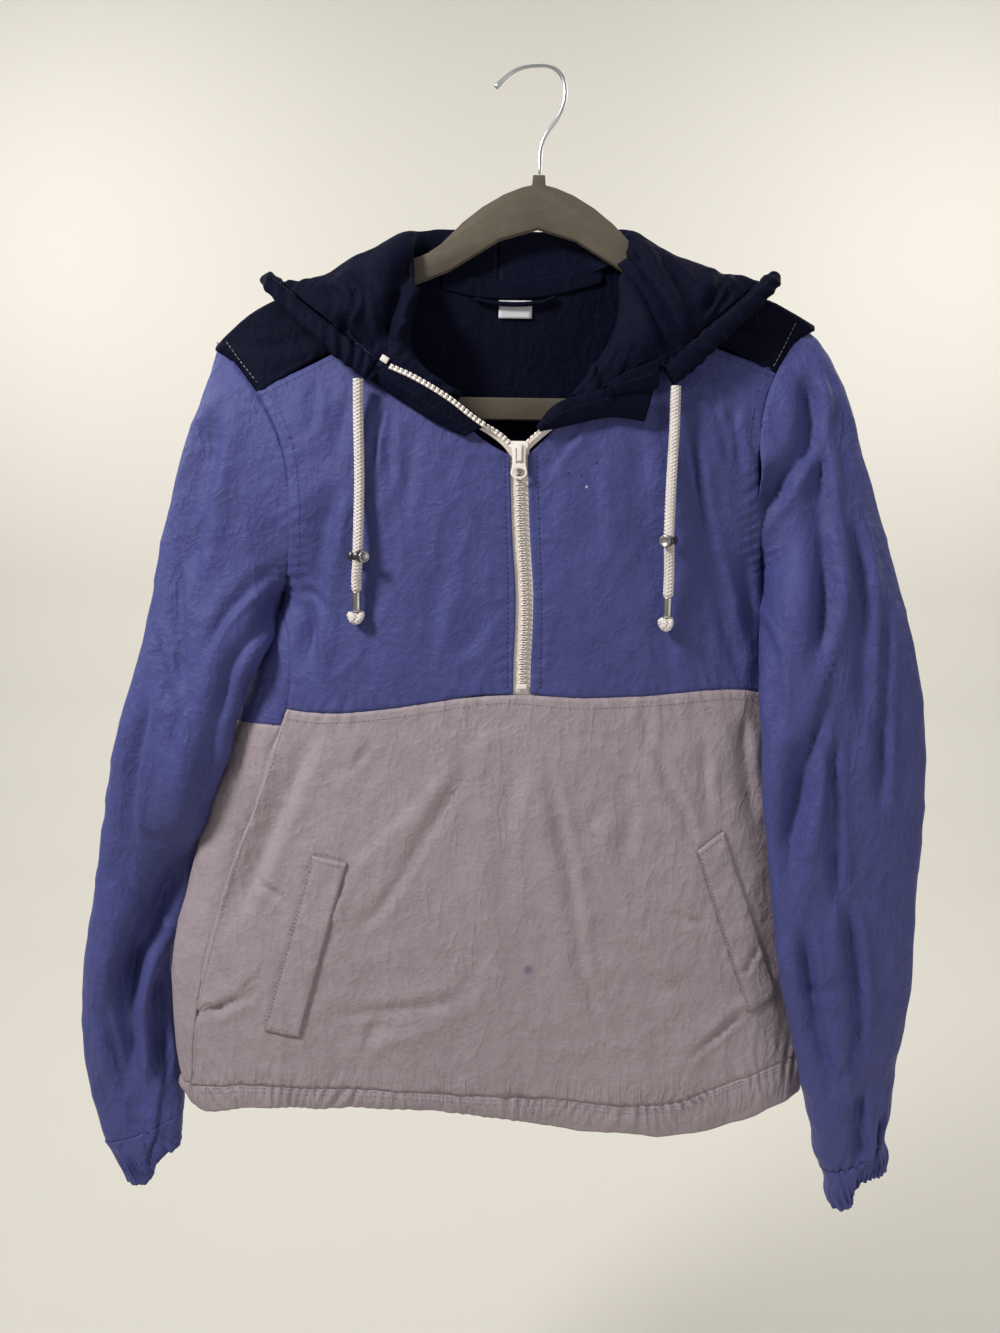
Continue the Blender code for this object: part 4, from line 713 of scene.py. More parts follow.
def shellFrom(node, levels, cloth, facing=None, front=(), back=(), frontPucker=(), backPucker=(),
              amount=1.0, seed=0.0, flat=None, area=None, extra=None, grow=0.9, drawn=(), sideways=1.0,
              depth=1.0):
    # a finer wall on the solid's own form, with its folds, puckers and slack
    look, slot = cloth
    solid, skins = skinsOf(node, grow)
    middle = sum((vert.co for vert in solid.verts), Vector()) / len(solid.verts)
    skins.sort(key=lambda skin: -outwards(skin, middle, facing))
    for face in solid.faces:
        face.material_index = cutEdge
    for number, skin in enumerate(skins):
        for face in skin:
            face.material_index = innerFace if number else outerFace
    mesh = meshFrom(solid, node)
    while len(mesh.materials) < 3:
        mesh.materials.append(look)
    made = refined(node, mesh, levels)
    count = len(made.vertices)
    place = readInto(float, made.vertices, "co", 3)
    total = readInto(int, made.polygons, "loop_total")
    corners = readInto(int, made.loops, "vertex_index")
    outer = np.repeat(readInto(int, made.polygons, "material_index"), total) == outerFace
    normalOfCorner = np.repeat(readInto(float, made.polygons, "normal", 3), total, axis=0)
    ways = np.zeros((count, 3))
    np.add.at(ways, corners[outer], normalOfCorner[outer])
    isOuter = np.zeros(count, bool)
    isOuter[corners[outer]] = True
    ways /= np.maximum(np.linalg.norm(ways, axis=1), 1e-9)[:, None]
    index = np.where(isOuter)[0]
    points = place[index] / mm
    flatPoints = points[:, [0, 2]]
    toFront = np.clip(0.5 - ways[index, 1] * turnRate, 0, 1)
    if facing:
        toFront[:] = 1.0 if facing[1] < 0 else 0.0
    lift = crumple(points, seed, amount)
    for share, folds, puckers in ((toFront, front, frontPucker), (1 - toFront, back, backPucker)):
        lift += share * (depth * foldHeight(flatPoints, folds) + puckerHeight(flatPoints, puckers))
    if extra:
        lift = extra(points, lift, toFront)
    tree = KDTree(len(index))
    for k, spot in enumerate(place[index]):
        tree.insert(spot, k)
    tree.balance()
    nearest = np.zeros(count, int)
    nearest[index] = np.arange(len(index))
    for k in np.where(~isOuter)[0]:
        nearest[k] = tree.find(place[k])[1]
    place = place + ways[index][nearest] * (sideways, 1, sideways) * (lift[nearest] * mm)[:, None]
    if drawn:
        place = drawnIn(place, drawn, drawReach)
    made.vertices.foreach_set("co", place.ravel())
    made.polygons.foreach_set("material_index", np.zeros(len(total), np.int32))
    made.materials.clear()
    made.materials.append(look)
    made.shade_smooth()
    made.update()
    made.name = node + "_cloth"
    piece = linked(node + "_cloth", made)
    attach(piece, jacket)
    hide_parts(node)
    shells[node] = piece


def toLine(points, line):
    return nearLine(points[:, [0, 2]], bent(line))


def pinned(lines, reach):
    # cloth lies still along a line that another piece is sewn to
    def hold(points, lift, toFront):
        for line in lines:
            away = np.abs(toLine(points, line)[0])
            lift = lift * (1 - 0.8 * np.exp(-(away / reach) ** 2))
        return lift
    return hold


def gathered(line, pitch, height, bulge):
    # elastic or a cord draws the cloth into short slanting pleats
    def draw(points, lift, toFront):
        away, run, length = toLine(points, line)
        sway = run + 2.4 * np.sin(run / 8.0) + 0.28 * points[:, 1] + 0.55 * away
        size = 0.62 + 0.38 * np.sin(run / 12.0 + 1.0)
        return lift + bulge * size + height * size * np.sin(2 * math.pi * sway / pitch)
    return draw


# how the cuffs' outlines are drawn in by the elastic: x, z and the way each place moves
cuffLeftDrawn = [
    (-338.1, -852.2, 4.2, 1.9), (-333.9, -867.8, 3.7, 6.5), (-327.6, -876, 4.5, 6.5),
    (-315, -874.9, 2.7, 4.7), (-308.5, -860, 4.1, -0.9), (-302.9, -845.2, -0.1, -2.8),
    (-291.1, -841.4, -2.4, 1.8), (-281.4, -826.6, -0.9, -1.8), (-315, -819.9, 0, 0),
    (-293.6, -801.5, 0, 0),
]
cuffRightDrawn = [
    (241.8, -843, 6.7, -0.8), (253.3, -865.9, 2, -4.6), (266, -880.5, 0, 0),
    (278, -885, -3.7, 5.5), (284.5, -882.1, -5.6, 8.3), (288.4, -867.2, -11.3, 7.2),
    (299.5, -859.6, -8.7, 5.4), (310.1, -856.7, -4.9, 9.2), (308.1, -842, -2.1, 6.4),
    (304.7, -819.2, -4.3, 1.7), (240.5, -811.1, 1.7, 0), (270.4, -801.6, 0, 0),
    (268.2, -828.9, 0, 0),
]

# where one layer of cloth laps over the next: height, reach and line, whose right hand side stands up
sleeveLeftLaps = [
    (3.2, 12, [(-309.4, -861.9), (-310.4, -847.2), (-306.6, -835.2), (-301.9, -822.4), (-299.8, -792.6),
               (-293.4, -756.8)]),
    (2.2, 10, [(-308.3, -837.1), (-313.6, -825.3), (-322.9, -811.8), (-323.7, -792.9)]),
]
frontLaps = [
    (2.2, 12, [(48, -540), (66, -595), (88, -638), (114, -677)]),
    (2.0, 14, [(-26, -466), (-78, -520), (-126, -572), (-156, -625)]),
    (2.8, 16, [(-193, -481), (-213, -548), (-252, -617), (-268, -679)]),
    (1.8, 12, [(-19, -657), (-69, -702), (-136, -727)]),
    (2.0, 11, [(182, -681), (149, -708), (117, -745)]),
    (1.6, 9, [(-258, -707), (-226, -685), (-203, -664)]),
]
hoodLaps = [
    (5.0, 13, [(58, -125), (73, -144), (84, -165), (98, -196)]),
    (3.0, 11, [(39, -221), (47, -193), (55, -167), (55, -125)]),
    (4.0, 12, [(-72, -130), (-91, -155), (-101, -175), (-104, -194)]),
    (3.0, 10, [(-147, -145), (-133, -155), (-129, -168), (-137, -185)]),
    (2.0, 9, [(114, -151), (126, -161), (131, -176)]),
]
sleeveRightLaps = [
    (5.0, 16, [(206.8, -485.7), (209.4, -454.2), (216.5, -423.1), (222, -381), (221.7, -343.5),
               (216.5, -299.4), (208.1, -263.3)]),
    (3.2, 12, [(275.5, -861.8), (272.9, -849), (274.6, -837.9), (282.2, -827.8), (286.2, -815),
               (291.1, -792.3), (293.9, -765.4)]),
    (2.2, 12, [(231.8, -594.7), (229.9, -661.9), (245.8, -730.9), (260.9, -783.8)]),
]


lapEnds, lapStep = 9, 5


def lapped(laps):
    # a step up across the line that falls away behind it
    def draw(points, lift, toFront):
        for height, reach, line in laps:
            away, run, length = toLine(points, line)
            ends = np.clip(np.minimum(run, length - run) / lapEnds, 0, 1)
            up = np.clip(away / lapStep + 0.5, 0, 1)
            fall = np.where(away > 0, np.exp(-(away / reach) ** 2),
                            -0.5 * np.exp(-(away / reach * 2) ** 2))
            lift = lift + height * ends * fall * up * toFront
        return lift
    return draw


def drawnIn(place, pairs, reach):
    # the outline is eased towards the places in pairs, less and less beyond reach
    flatPlace = place[:, [0, 2]] / mm
    moved, share = np.zeros_like(flatPlace), np.full(len(place), 0.12)
    for x, z, dx, dz in pairs:
        weight = np.exp(-((flatPlace[:, 0] - x) ** 2 + (flatPlace[:, 1] - z) ** 2) / reach ** 2)
        moved += weight[:, None] * np.array((dx, dz))
        share += weight
    place[:, [0, 2]] += moved / share[:, None] * mm
    return place


def sunk(deep):
    # the whole face lies deeper
    return lambda points, lift, toFront: lift - deep


def inTurn(*ways):
    def draw(points, lift, toFront):
        for way in ways:
            lift = way(points, lift, toFront)
        return lift
    return draw


def swollen(places):
    # slack cloth that stands out at these places: x, z, reach, height
    def draw(points, lift, toFront):
        for x, z, reach, height in places:
            away = (points[:, 0] - x) ** 2 + (points[:, 2] - z) ** 2
            lift = lift + height * np.exp(-away / reach ** 2)
        return lift
    return draw


def cuffGathers(line, reach, pitch, height):
    # pleats fan up from the elastic
    def draw(points, lift, toFront):
        away, run, length = toLine(points, line)
        sway = run + 1.3 * np.sin(run / 4.0) + 0.12 * points[:, 1]
        size = np.exp(-(away / reach) ** 2)
        return lift + height * size * (np.sin(2 * math.pi * sway / pitch) + 0.4)
    return draw


bodyFront = {"facing": (0, -1, 0), "front": frontFolds, "frontPucker": frontPuckers}
bodyBack = {"facing": (0, 1, 0), "back": backFolds, "backPucker": backPuckers}
zipLine = [(-7, -445), (-6, -396), (-8, -345), (-10, -317), (-12, -262)]
collarLine = [(-104, -211), (-63, -232), (-27, -256), (-12, -264), (6, -252), (40, -231), (80, -221)]
lilacCloth = (lilac, "lilac_cloth")
blueCloth = (periwinkle, "periwinkle_cloth")
navyCloth = (navy, "navy_cloth")
shellFrom("front_lower", 3, lilacCloth, grow=0.5, flat=(0.56, 0.36), area=0.175, extra=lapped(frontLaps),
          **bodyFront)
shellFrom("back_lower", 3, lilacCloth, flat=(0.58, 0.34), area=0.18, **bodyBack)
shellFrom("back_upper", 3, blueCloth, flat=(0.46, 0.20), area=0.08, **bodyBack)
for word in ("left", "right"):
    shellFrom("front_upper_" + word, 3, blueCloth, flat=(0.23, 0.29), area=0.047,
              extra=pinned([zipLine, collarLine], 9), **bodyFront)
print("body made")
shellFrom("yoke", 2, navyCloth, front=yokeFolds, back=yokeBack, backPucker=backPuckers,
          frontPucker=[(7, 0.7, 10, armLeft), (7, 0.8, 10, armRight)], amount=0.55, flat=(0.50, 0.26),
          area=0.085, grow=1.3)

# what each arm is made with; slack is where its cloth swells
arms = {
    "left": {"folds": {"front": sleeveLeftFolds, "back": sleeveLeftBack, "seed": 4.0,
                       "drawn": cuffLeftDrawn},
             "puckers": sleeveLeftPuckers, "laps": lapped(sleeveLeftLaps),
             "slack": [(-200, -405, 30, 4.5), (-238, -500, 40, 5.0), (-262, -570, 40, 4.0)],
             "gathers": ([(-280, -834), (-305, -852), (-338, -866)], 13, 4.6, 1.6)},
    "right": {"folds": {"front": sleeveRightFolds, "back": sleeveRightBack, "seed": 9.0,
                        "drawn": cuffRightDrawn},
              "puckers": sleeveRightPuckers, "laps": lapped(sleeveRightLaps),
              "slack": [(176, -366, 18, 5.0), (176, -380, 34, 4.5), (196, -440, 40, 3.0)],
              "gathers": ([(250, -868), (274, -856), (310, -846)], 14, 4.6, 1.3)},
}
for word, arm in arms.items():
    shellFrom("sleeve_" + word, 3, blueCloth, frontPucker=arm["puckers"], backPucker=arm["puckers"],
              amount=1.2, grow=1.6, depth=1.35, extra=inTurn(swollen(arm["slack"]), arm["laps"]),
              flat=(0.38, 0.66), area=0.16, **arm["folds"])
print("sleeves made")
shellFrom("hem_casing", 3, lilacCloth, front=frontFolds, back=backFolds, frontPucker=frontPuckers,
          backPucker=backPuckers, amount=0.8, flat=(1.04, 0.03), extra=sunk(0.4))
for word, arm in arms.items():
    shellFrom("cuff_" + word, 3, blueCloth, grow=0.4, sideways=0.25, flat=(0.15, 0.05),
              extra=inTurn(cuffGathers(*arm["gathers"]), arm["laps"]), **arm["folds"])
for word, seed, casing in (("left", 14.0, casingLeft), ("right", 21.0, casingRight)):
    shellFrom("hood_" + word, 3, navyCloth, front=hoodFolds, back=hoodBack, frontPucker=hoodPuckers,
              backPucker=[(8, 0.8, 9, [(-28, -110), (-28, -380)])], seed=seed, amount=0.7, depth=0.85,
              extra=lapped(hoodLaps), flat=(0.26, 0.35), area=0.078)
    shellFrom("hood_casing_" + word, 3, navyCloth, seed=seed, amount=0.5, flat=(0.30, 0.05),
              extra=gathered(casing, 9.5, 1.7, 1.2), sideways=0.4)
    shellFrom("pocket_welt_" + word, 3, lilacCloth, flat=(0.032, 0.15), **bodyFront)
    shellFrom("zip_tape_" + word, 2, (tapeWeave, "zip_tape"), front=frontFolds, facing=(0, -1, 0),
              extra=pinned([zipLine, collarLine], 12), amount=0.6, flat=(0.0105, 0.24))
for node, levels, cloth, amount, flat in (
        ("collar_band_left", 2, navyCloth, 0.35, (0.095, 0.02)),
        ("collar_band_right", 2, navyCloth, 0.35, (0.036, 0.017)),
        ("zip_guard", 2, navyCloth, 0.3, (0.088, 0.019)),
        ("neck_tape", 2, navyCloth, 0.2, (0.13, 0.013)),
        ("label", 3, (labelSatin, "label_cloth"), 0.15, (0.024, 0.0125))):
    shellFrom(node, levels, cloth, facing=(0, -1, 0), amount=amount, flat=flat)
print("trim made")


def keepPiece(name, mesh, look, body=jacket, nodes=()):
    mesh.materials.clear()
    mesh.materials.append(look)
    mesh.shade_smooth()
    piece = linked(name, mesh)
    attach(piece, body)
    if nodes:
        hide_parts(*nodes)
    return piece


def meshOf(name, points, faces):
    mesh = bpy.data.meshes.new(name)
    mesh.from_pydata([tuple(point) for point in points], [], faces)
    mesh.update()
    return mesh


def ringFaces(rings, sides, ends=True, start=0):
    faces = []
    for k in range(rings - 1):
        for n in range(sides):
            a, b = start + k * sides + n, start + k * sides + (n + 1) % sides
            faces.append((a, b, b + sides, a + sides))
    if ends:
        last = start + (rings - 1) * sides
        faces.append(tuple(range(start, start + sides))[::-1])
        faces.append(tuple(range(last, last + sides)))
    return faces


def tube(name, path, radius, sides, relief=None, ends=True):
    # rings across a path, in metres, kept from twisting
    points = []
    path = [Vector(p) for p in path]
    across = Vector((1, 0, 0))
    for k, here in enumerate(path):
        run = (path[min(k + 1, len(path) - 1)] - path[max(k - 1, 0)]).normalized()
        across = (across - run * across.dot(run)).normalized()
        other = run.cross(across)
        size = radius(k / (len(path) - 1)) if callable(radius) else radius
        for n in range(sides):
            angle = 2 * math.pi * n / sides
            far = size + (relief(k, n) if relief else 0)
            points.append(here + (across * math.cos(angle) + other * math.sin(angle)) * far)
    return meshOf(name, points, ringFaces(len(path), sides, ends))


def turned(profile, sides, place, axis, name):
    # a profile of (along, radius) in millimetres, turned about an axis
    axis = Vector(axis).normalized()
    across = axis.orthogonal().normalized()
    other = axis.cross(across)
    points = []
    for along, radius in profile:
        for n in range(sides):
            angle = 2 * math.pi * n / sides
            out = across * math.cos(angle) + other * math.sin(angle)
            points.append((Vector(place) + axis * along + out * radius) * mm)
    return meshOf(name, points, ringFaces(len(profile), sides))


def runsOf(line):
    # how far along a line each of its points is
    return np.concatenate([[0], np.cumsum(np.linalg.norm(np.diff(line, axis=0), axis=1))])


def spotOn(line, runs, at):
    return np.array([np.interp(at, runs, column) for column in line.T])


def smoothPath(points, step):
    line = bent(points, 24)
    runs = runsOf(line)
    count = max(int(runs[-1] / step), 2)
    return spotOn(line, runs, np.linspace(0, runs[-1], count + 1)).T


# drawcords, with their locks, end sleeves and knots
cordFacts = {
    "width": 7.0, "step": 0.5, "sides": 24, "lay": 2.6, "strands": 4, "end": 3.2,
    "left": {"run": [(-126, -42, -220.4), (-126, -43, -245), (-125, -47, -290), (-125.5, -54, -339),
                     (-125.5, -54.5, -344), (-126, -54, -349), (-127, -52.5, -359), (-127, -52, -369),
                     (-127, -52, -384)],
             "lock": (-125.5, -54.5, -344), "turn": 42},
    "right": {"run": [(98, -42, -222.3), (98, -44, -250), (96.5, -49, -290), (95.5, -54, -325),
                      (95.5, -54.5, -330), (96, -54, -335), (97, -52.5, -353), (97, -52, -370),
                      (97, -52, -385)],
              "lock": (95.5, -54.5, -330), "turn": -30},
}
# the barrel's outline: how far along, and how deep below its radius; the plunger's: along, and radius
barrelShape = {"half": 6.0, "radius": 4.3, "back": 2.2,
               "start": [(0, 1.0), (0.25, 0.45), (0.8, 0.1), (1.4, 0)],
               "groove": [(-1.6, 0), (-1.35, 0.25), (-0.95, 0.25), (-0.7, 0)],
               "end": [(1.9, 0), (1.6, 0.3), (1.2, 0.3), (0.9, 0), (0.4, 0.05), (0.1, 0.3), (0, 0.7)]}
plungerShape = [(6.4, 2.2), (2.3, 2.2), (2.25, 3.7), (2.0, 4.15), (1.6, 4.3), (0.7, 4.3), (0.25, 4.1),
                (0, 3.6), (0.05, 3.2), (0.45, 2.9), (0.5, 0.6), (0.45, 0.2)]


def barrelProfile():
    half, radius = barrelShape["half"], barrelShape["radius"]
    return ([(along - half, radius - deep) for along, deep in barrelShape["start"]]
            + [(along, radius - deep) for along, deep in barrelShape["groove"]]
            + [(half - along, radius - deep) for along, deep in barrelShape["end"]])


def makeCord(word):
    facts = cordFacts[word]
    path = smoothPath(facts["run"], cordFacts["step"]) * mm
    sides = cordFacts["sides"]
    radius = cordFacts["width"] / 2 * mm

    def strands(k, n):
        share = n / sides
        height = k * cordFacts["step"] / cordFacts["lay"]
        one = math.sin(2 * math.pi * (height + share * cordFacts["strands"]))
        two = math.sin(2 * math.pi * (height - share * cordFacts["strands"]))
        return (max(one, two) * 0.55 - 0.2) * mm

    def narrow(share):
        # thinner inside the end sleeve
        return radius * (1.0 if share < 0.9 else 0.62 if share > 0.915 else 1.0 - (share - 0.9) * 25.3)

    cord = keepPiece("drawcord_braid_" + word, tube("cord", path, narrow, sides, strands), braid,
                     nodes=("drawcord_" + word, "drawcord_tail_" + word))
    turn = math.radians(facts["turn"])
    axis = Vector((math.sin(turn), -math.cos(turn), 0))
    middle = Vector(facts["lock"])
    case = turned(barrelProfile(), 40, middle - axis * barrelShape["back"], axis, "barrel")
    barrel = keepPiece("lock_barrel_" + word, case, darkMetal, nodes=("cord_lock_" + word,))
    plungerNode = "cord_lock_plunger_" + word
    headEnd = max((vert.co / mm - middle).dot(axis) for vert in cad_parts[plungerNode].data.vertices)
    profile = [(headEnd - along, wide) for along, wide in plungerShape]
    plunger = keepPiece("lock_plunger_" + word, turned(profile, 40, middle, axis, "plunger"), satinMetal,
                        "plunger_" + word, (plungerNode,))
    low, high = [Vector(corner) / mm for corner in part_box("ferrule_" + word)]
    length = high.z - low.z
    wide = max((high.x - low.x) / 2, cordFacts["end"])
    ring = [(0, 0.7), (0, 0.3), (0.3, 0.05), (0.9, 0)]
    ring = [(along, wide - deep) for along, deep in ring]
    ring += [(length - along, size) for along, size in ring[::-1]]
    foot = ((low.x + high.x) / 2, (low.y + high.y) / 2, low.z)
    sleeve = keepPiece("cord_end_sleeve_" + word, turned(ring, 36, foot, (0, 0, 1), "sleeve"), satinMetal,
                       nodes=("ferrule_" + word,))
    knot = makeKnot(word)


def makeKnot(word):
    # an overhand knot: two crossing turns of thin cord pulled tight
    low, high = [Vector(c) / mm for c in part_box("knot_" + word)]
    middle = (low + high) / 2
    reach = (high - low) / 2 - Vector((2.2, 2.0, 2.0))
    path = []
    for k in range(60):
        a = 2 * math.pi * k / 60
        x = reach.x * math.sin(2 * a + 0.4) * 0.66 + reach.x * 0.42 * math.cos(a)
        y = reach.y * math.cos(3 * a) * 0.95
        z = reach.z * math.sin(3 * a + 0.7) * 0.5 + reach.z * 0.4 * math.cos(2 * a)
        path.append((middle + Vector((x, y, z))) * mm)
    path.append(path[0])

    def ply(k, n):
        return 0.22 * mm * math.sin(2 * math.pi * (k / 1.6 + n / 6))

    return keepPiece("cord_knot_" + word, tube("knot", path, 2.5 * mm, 12, ply, False), braid,
                     nodes=("knot_" + word,))


for word in ("left", "right"):
    makeCord(word)
print("cords made")


# hanger
def softSolid(node, name, look, bevel, body=jacket):
    # the solid with its sharp edges rounded
    solid = solidOf(node)
    bmesh.ops.dissolve_limit(solid, angle_limit=math.radians(3), verts=solid.verts, edges=solid.edges)
    sharp = [edge for edge in solid.edges
             if len(edge.link_faces) == 2 and edge.calc_face_angle(0) > math.radians(34)]
    bmesh.ops.bevel(solid, geom=sharp, offset=bevel * mm, segments=3, profile=0.6, affect="EDGES",
                    clamp_overlap=True)
    keepPiece(name, meshFrom(solid, name), look, body, (node,))


def smoothWire(node, name, look, slot):
    solid = solidOf(node)
    quadsOf(solid, 60, 120)
    keepPiece(name, refined(name, meshFrom(solid, name), 2), look, nodes=(node,))


softSolid("hanger_body", "flocked_hanger", flock, 0.7)
smoothWire("hanger_hook", "wire_hook", platedWire, "bright_wire")
smoothWire("hanging_loop", "neck_loop", *navyCloth)
softSolid("zip_slider", "zip_slider_cast", moulding, 0.3)
softSolid("zip_pull_tab", "zip_pull_cast", moulding, 0.35, "pull_tab")
softSolid("zip_bottom_stop", "zip_bottom_stop_cast", moulding, 0.5)
softSolid("zip_top_stop", "zip_top_stop_cast", moulding, 0.7)
print("hanger and slider made")


# zip teeth: a rounded head, a neck and a foot, moulded over the tape's edge
zipFacts = {"pitch": 3.57, "thick": 2.3, "core": 1.3, "bead": 1.15,
            "closed": {"lift": 1.45, "tall": 0.52},
            "open": {"lift": 1.1, "start": 1.0, "tall": 1.32, "wide": 0.82}}
toothOutline = [(-2.6, 0.95), (-1.2, 0.95), (-0.6, 0.6), (0.1, 0.55), (0.6, 1.05), (1.25, 1.15),
                (1.75, 0.7)]


def toothShape():
    outline = [(x, -z) for x, z in toothOutline] + [(1.85, 0)] + toothOutline[::-1]
    half = zipFacts["thick"] / 2
    rings = [(0.84, half), (1.0, half - 0.35), (1.0, -half + 0.35), (0.84, -half)]
    points = [(x * (0.92 if grow < 1 else 1), y, z * grow) for grow, y in rings for x, z in outline]
    count = len(outline)
    faces = [tuple(range(count))]
    for k in range(len(rings) - 1):
        for n in range(count):
            a, b = k * count + n, k * count + (n + 1) % count
            faces.append((a, a + count, b + count, b))
    faces.append(tuple(range((len(rings) - 1) * count, len(rings) * count))[::-1])
    return points, faces


def castTo(tree, x, z, way=1, far=0.2):
    # where a straight line from in front (way 1) or from behind (way -1) meets the cloth
    hit = tree.ray_cast(Vector((x * mm, -far * way, z * mm)), Vector((0, way, 0)))
    return hit[0], hit[1]


def joined(parts):
    points, faces = [], []
    for more, moreFaces in parts:
        base = len(points)
        points.extend(more)
        faces.extend(tuple(base + k for k in face) for face in moreFaces)
    return points, faces


def treeOf(*names):
    parts = []
    for name in names:
        mesh = shells[name].data
        spots = [vert.co.copy() for vert in mesh.vertices]
        parts.append((spots, [tuple(face.vertices) for face in mesh.polygons]))
    return BVHTree.FromPolygons(*joined(parts))


def rowOfTeeth(line, side, tree, lift, start=0.0, tall=1.0, wide=1.0):
    # side is where the tape lies from the teeth
    shape, shapeFaces = toothShape()
    line = bent(line, 10)
    runs = runsOf(line)
    parts = []
    at = start
    while at < runs[-1] - 0.5:
        here = spotOn(line, runs, at)
        run = spotOn(line, runs, min(at + 1, runs[-1])) - spotOn(line, runs, max(at - 1, 0))
        run /= np.hypot(*run)
        out = np.array((run[1], -run[0])) * side
        seat = castTo(tree, *(here + out * 2.2))[0]
        at += zipFacts["pitch"]
        if seat is None:
            continue
        points = []
        for x, y, z in shape:
            spot = here - out * x * wide + run * z * tall
            points.append((spot[0] * mm, seat.y + (y - lift) * mm, spot[1] * mm))
        parts.append((points, shapeFaces))
    return joined(parts)


# the closed chain, and each open edge above the slider
chainLine = [(-7, -434.5), (-7, -418), (-6, -396), (-6, -374), (-8, -345), (-10, -317), (-11.3, -279)]
openEdges = {
    "left": [(-13.2, -277), (-14, -268), (-18.5, -263), (-27, -256), (-41, -248), (-63, -232), (-86, -219),
             (-103, -211.6)],
    "right": [(-10.4, -277), (-10, -268), (-5.5, -262), (6, -252), (20, -241), (40, -231), (60, -225),
              (79, -221.3)],
}


def seated(line, tree, away, lift):
    # a path on the cloth, a little beside the line and above it, in metres
    made = []
    for x, z in line:
        seat = castTo(tree, x + away, z)[0]
        if seat is not None:
            made.append((x * mm, seat.y - lift * mm, z * mm))
    return made


def makeTeeth():
    # the closed chain's two rows mesh below the slider; above it each edge stands alone
    closed, loose = [], []
    for side, word in ((-1, "left"), (1, "right")):
        tree = treeOf("zip_tape_" + word)
        line = [(x + side * 0.2, z) for x, z in chainLine]
        start = 0 if side < 0 else zipFacts["pitch"] / 2
        closed.append(rowOfTeeth(line, side, tree, start=start, **zipFacts["closed"]))
        names = ["zip_tape_" + word, "front_upper_" + word]
        if side < 0:
            names.append("collar_band_left")
        tree = treeOf(*names)
        loose.append(rowOfTeeth(openEdges[word][1:], side, tree, **zipFacts["open"]))
        line = bent(openEdges[word], 8)
        out = np.gradient(line, axis=0)
        out = np.stack([out[:, 1], -out[:, 0]], axis=1) / np.hypot(out[:, 0], out[:, 1])[:, None] * side
        bead = seated(line + out * 1.1, tree, 0, 0.7)
        keepPiece("zip_tape_bead_" + word, tube("bead", smoothPath(bead, 0.0015), zipFacts["bead"] * mm, 8),
                  tapeWeave)
    # the core cord under the closed chain is darker than the tape: painted shade in the gaps between the
    # teeth
    core = seated(bent(chainLine, 8), treeOf("zip_tape_left", "zip_tape_right"), -1.5, -0.5)
    keepPiece("zip_chain_core", tube("core", smoothPath(core, 0.002), zipFacts["core"] * mm, 8), coreShadeThread)
    keepPiece("zip_teeth_closed", meshOf("teeth", *joined(closed)), moulding,
              nodes=("zip_chain",))
    keepPiece("zip_teeth_open", meshOf("teeth", *joined(loose)), moulding)


makeTeeth()
print("zip made")


# stitches: a row of small rounded threads sunk into the cloth
# rings of one stitch: which seat, size, rise, and how far along it moves
stitchRings = [(0, 0.5, -0.12, 0), (0, 1.0, 0.14, 0.25), (2, 1.0, 0.14, -0.25), (2, 0.5, -0.12, 0)]


def stitchRow(tree, line, gauge, way=1):
    length, gap, width = gauge
    line = bent(line, 8)
    runs = runsOf(line)
    parts = []
    at = 1.0
    while at + length < runs[-1]:
        ends = [castTo(tree, *spotOn(line, runs, at + part * length), way) for part in (0, 0.5, 1)]
        at += length + gap
        if any(seat is None for seat, face in ends):
            continue
        run = ends[2][0] - ends[0][0]
        if not 0.2 * length * mm <= run.length <= 3 * length * mm:
            continue
        run.normalize()
        outer = sum((face for _, face in ends), Vector()).normalized()
        if outer.y * way > 0:
            outer.negate()
        across = run.cross(outer).normalized()
        points = []
        for which, size, rise, more in stitchRings:
            middle = ends[which][0] + run * (more * length * mm) + outer * rise * width * mm
            for n in range(4):
                a = math.pi * (n / 2 + 0.25)
                out = across * math.cos(a) + outer * math.sin(a) * 0.75
                points.append(middle + out * size * width / 2 * mm)
        parts.append((points, stitchFaces))
    return joined(parts)


def beside(line, far):
    # the same line moved sideways
    line = bent(line, 4)
    run = np.gradient(line, axis=0)
    run /= np.hypot(run[:, 0], run[:, 1])[:, None]
    return [tuple(p + far * np.array((-r[1], r[0]))) for p, r in zip(line, run)]


def below(line, far):
    return [(x, z - far) for x, z in line]


def makeStitches(name, look, rows):
    points, faces = joined(stitchRow(*row) for row in rows)
    keepPiece(name, meshOf(name, points, faces), look)
    print(name, len(points) // 16)


stitchFaces = ringFaces(4, 4)
treeFront = treeOf("front_upper_left", "front_upper_right", "front_lower", "hem_casing", "pocket_welt_left",
                   "pocket_welt_right")
treeBack = treeOf("back_upper", "back_lower", "hem_casing", "yoke")
treeYoke = treeOf("yoke")
treeHood = treeOf("hood_left", "hood_right", "hood_casing_left", "hood_casing_right")
treeCollar = treeOf("collar_band_left", "collar_band_right", "zip_guard")
treeNeck = treeOf("neck_tape", "label")


def weltRows():
    rows = []
    for topOuter, topInner, lowOuter, lowInner in welts.values():
        corners = [np.array(p, float) for p in (topOuter, topInner, lowInner, lowOuter)]
        middle = sum(corners) / 4
        for far in (3.0, -3.0):
            ring = [tuple(p + (p - middle) / np.linalg.norm(p - middle) * far) for p in corners]
            for k in range(4):
                rows.append((treeFront, [ring[k], ring[(k + 1) % 4]], (2.4, 0.9, 0.55)))
    return rows


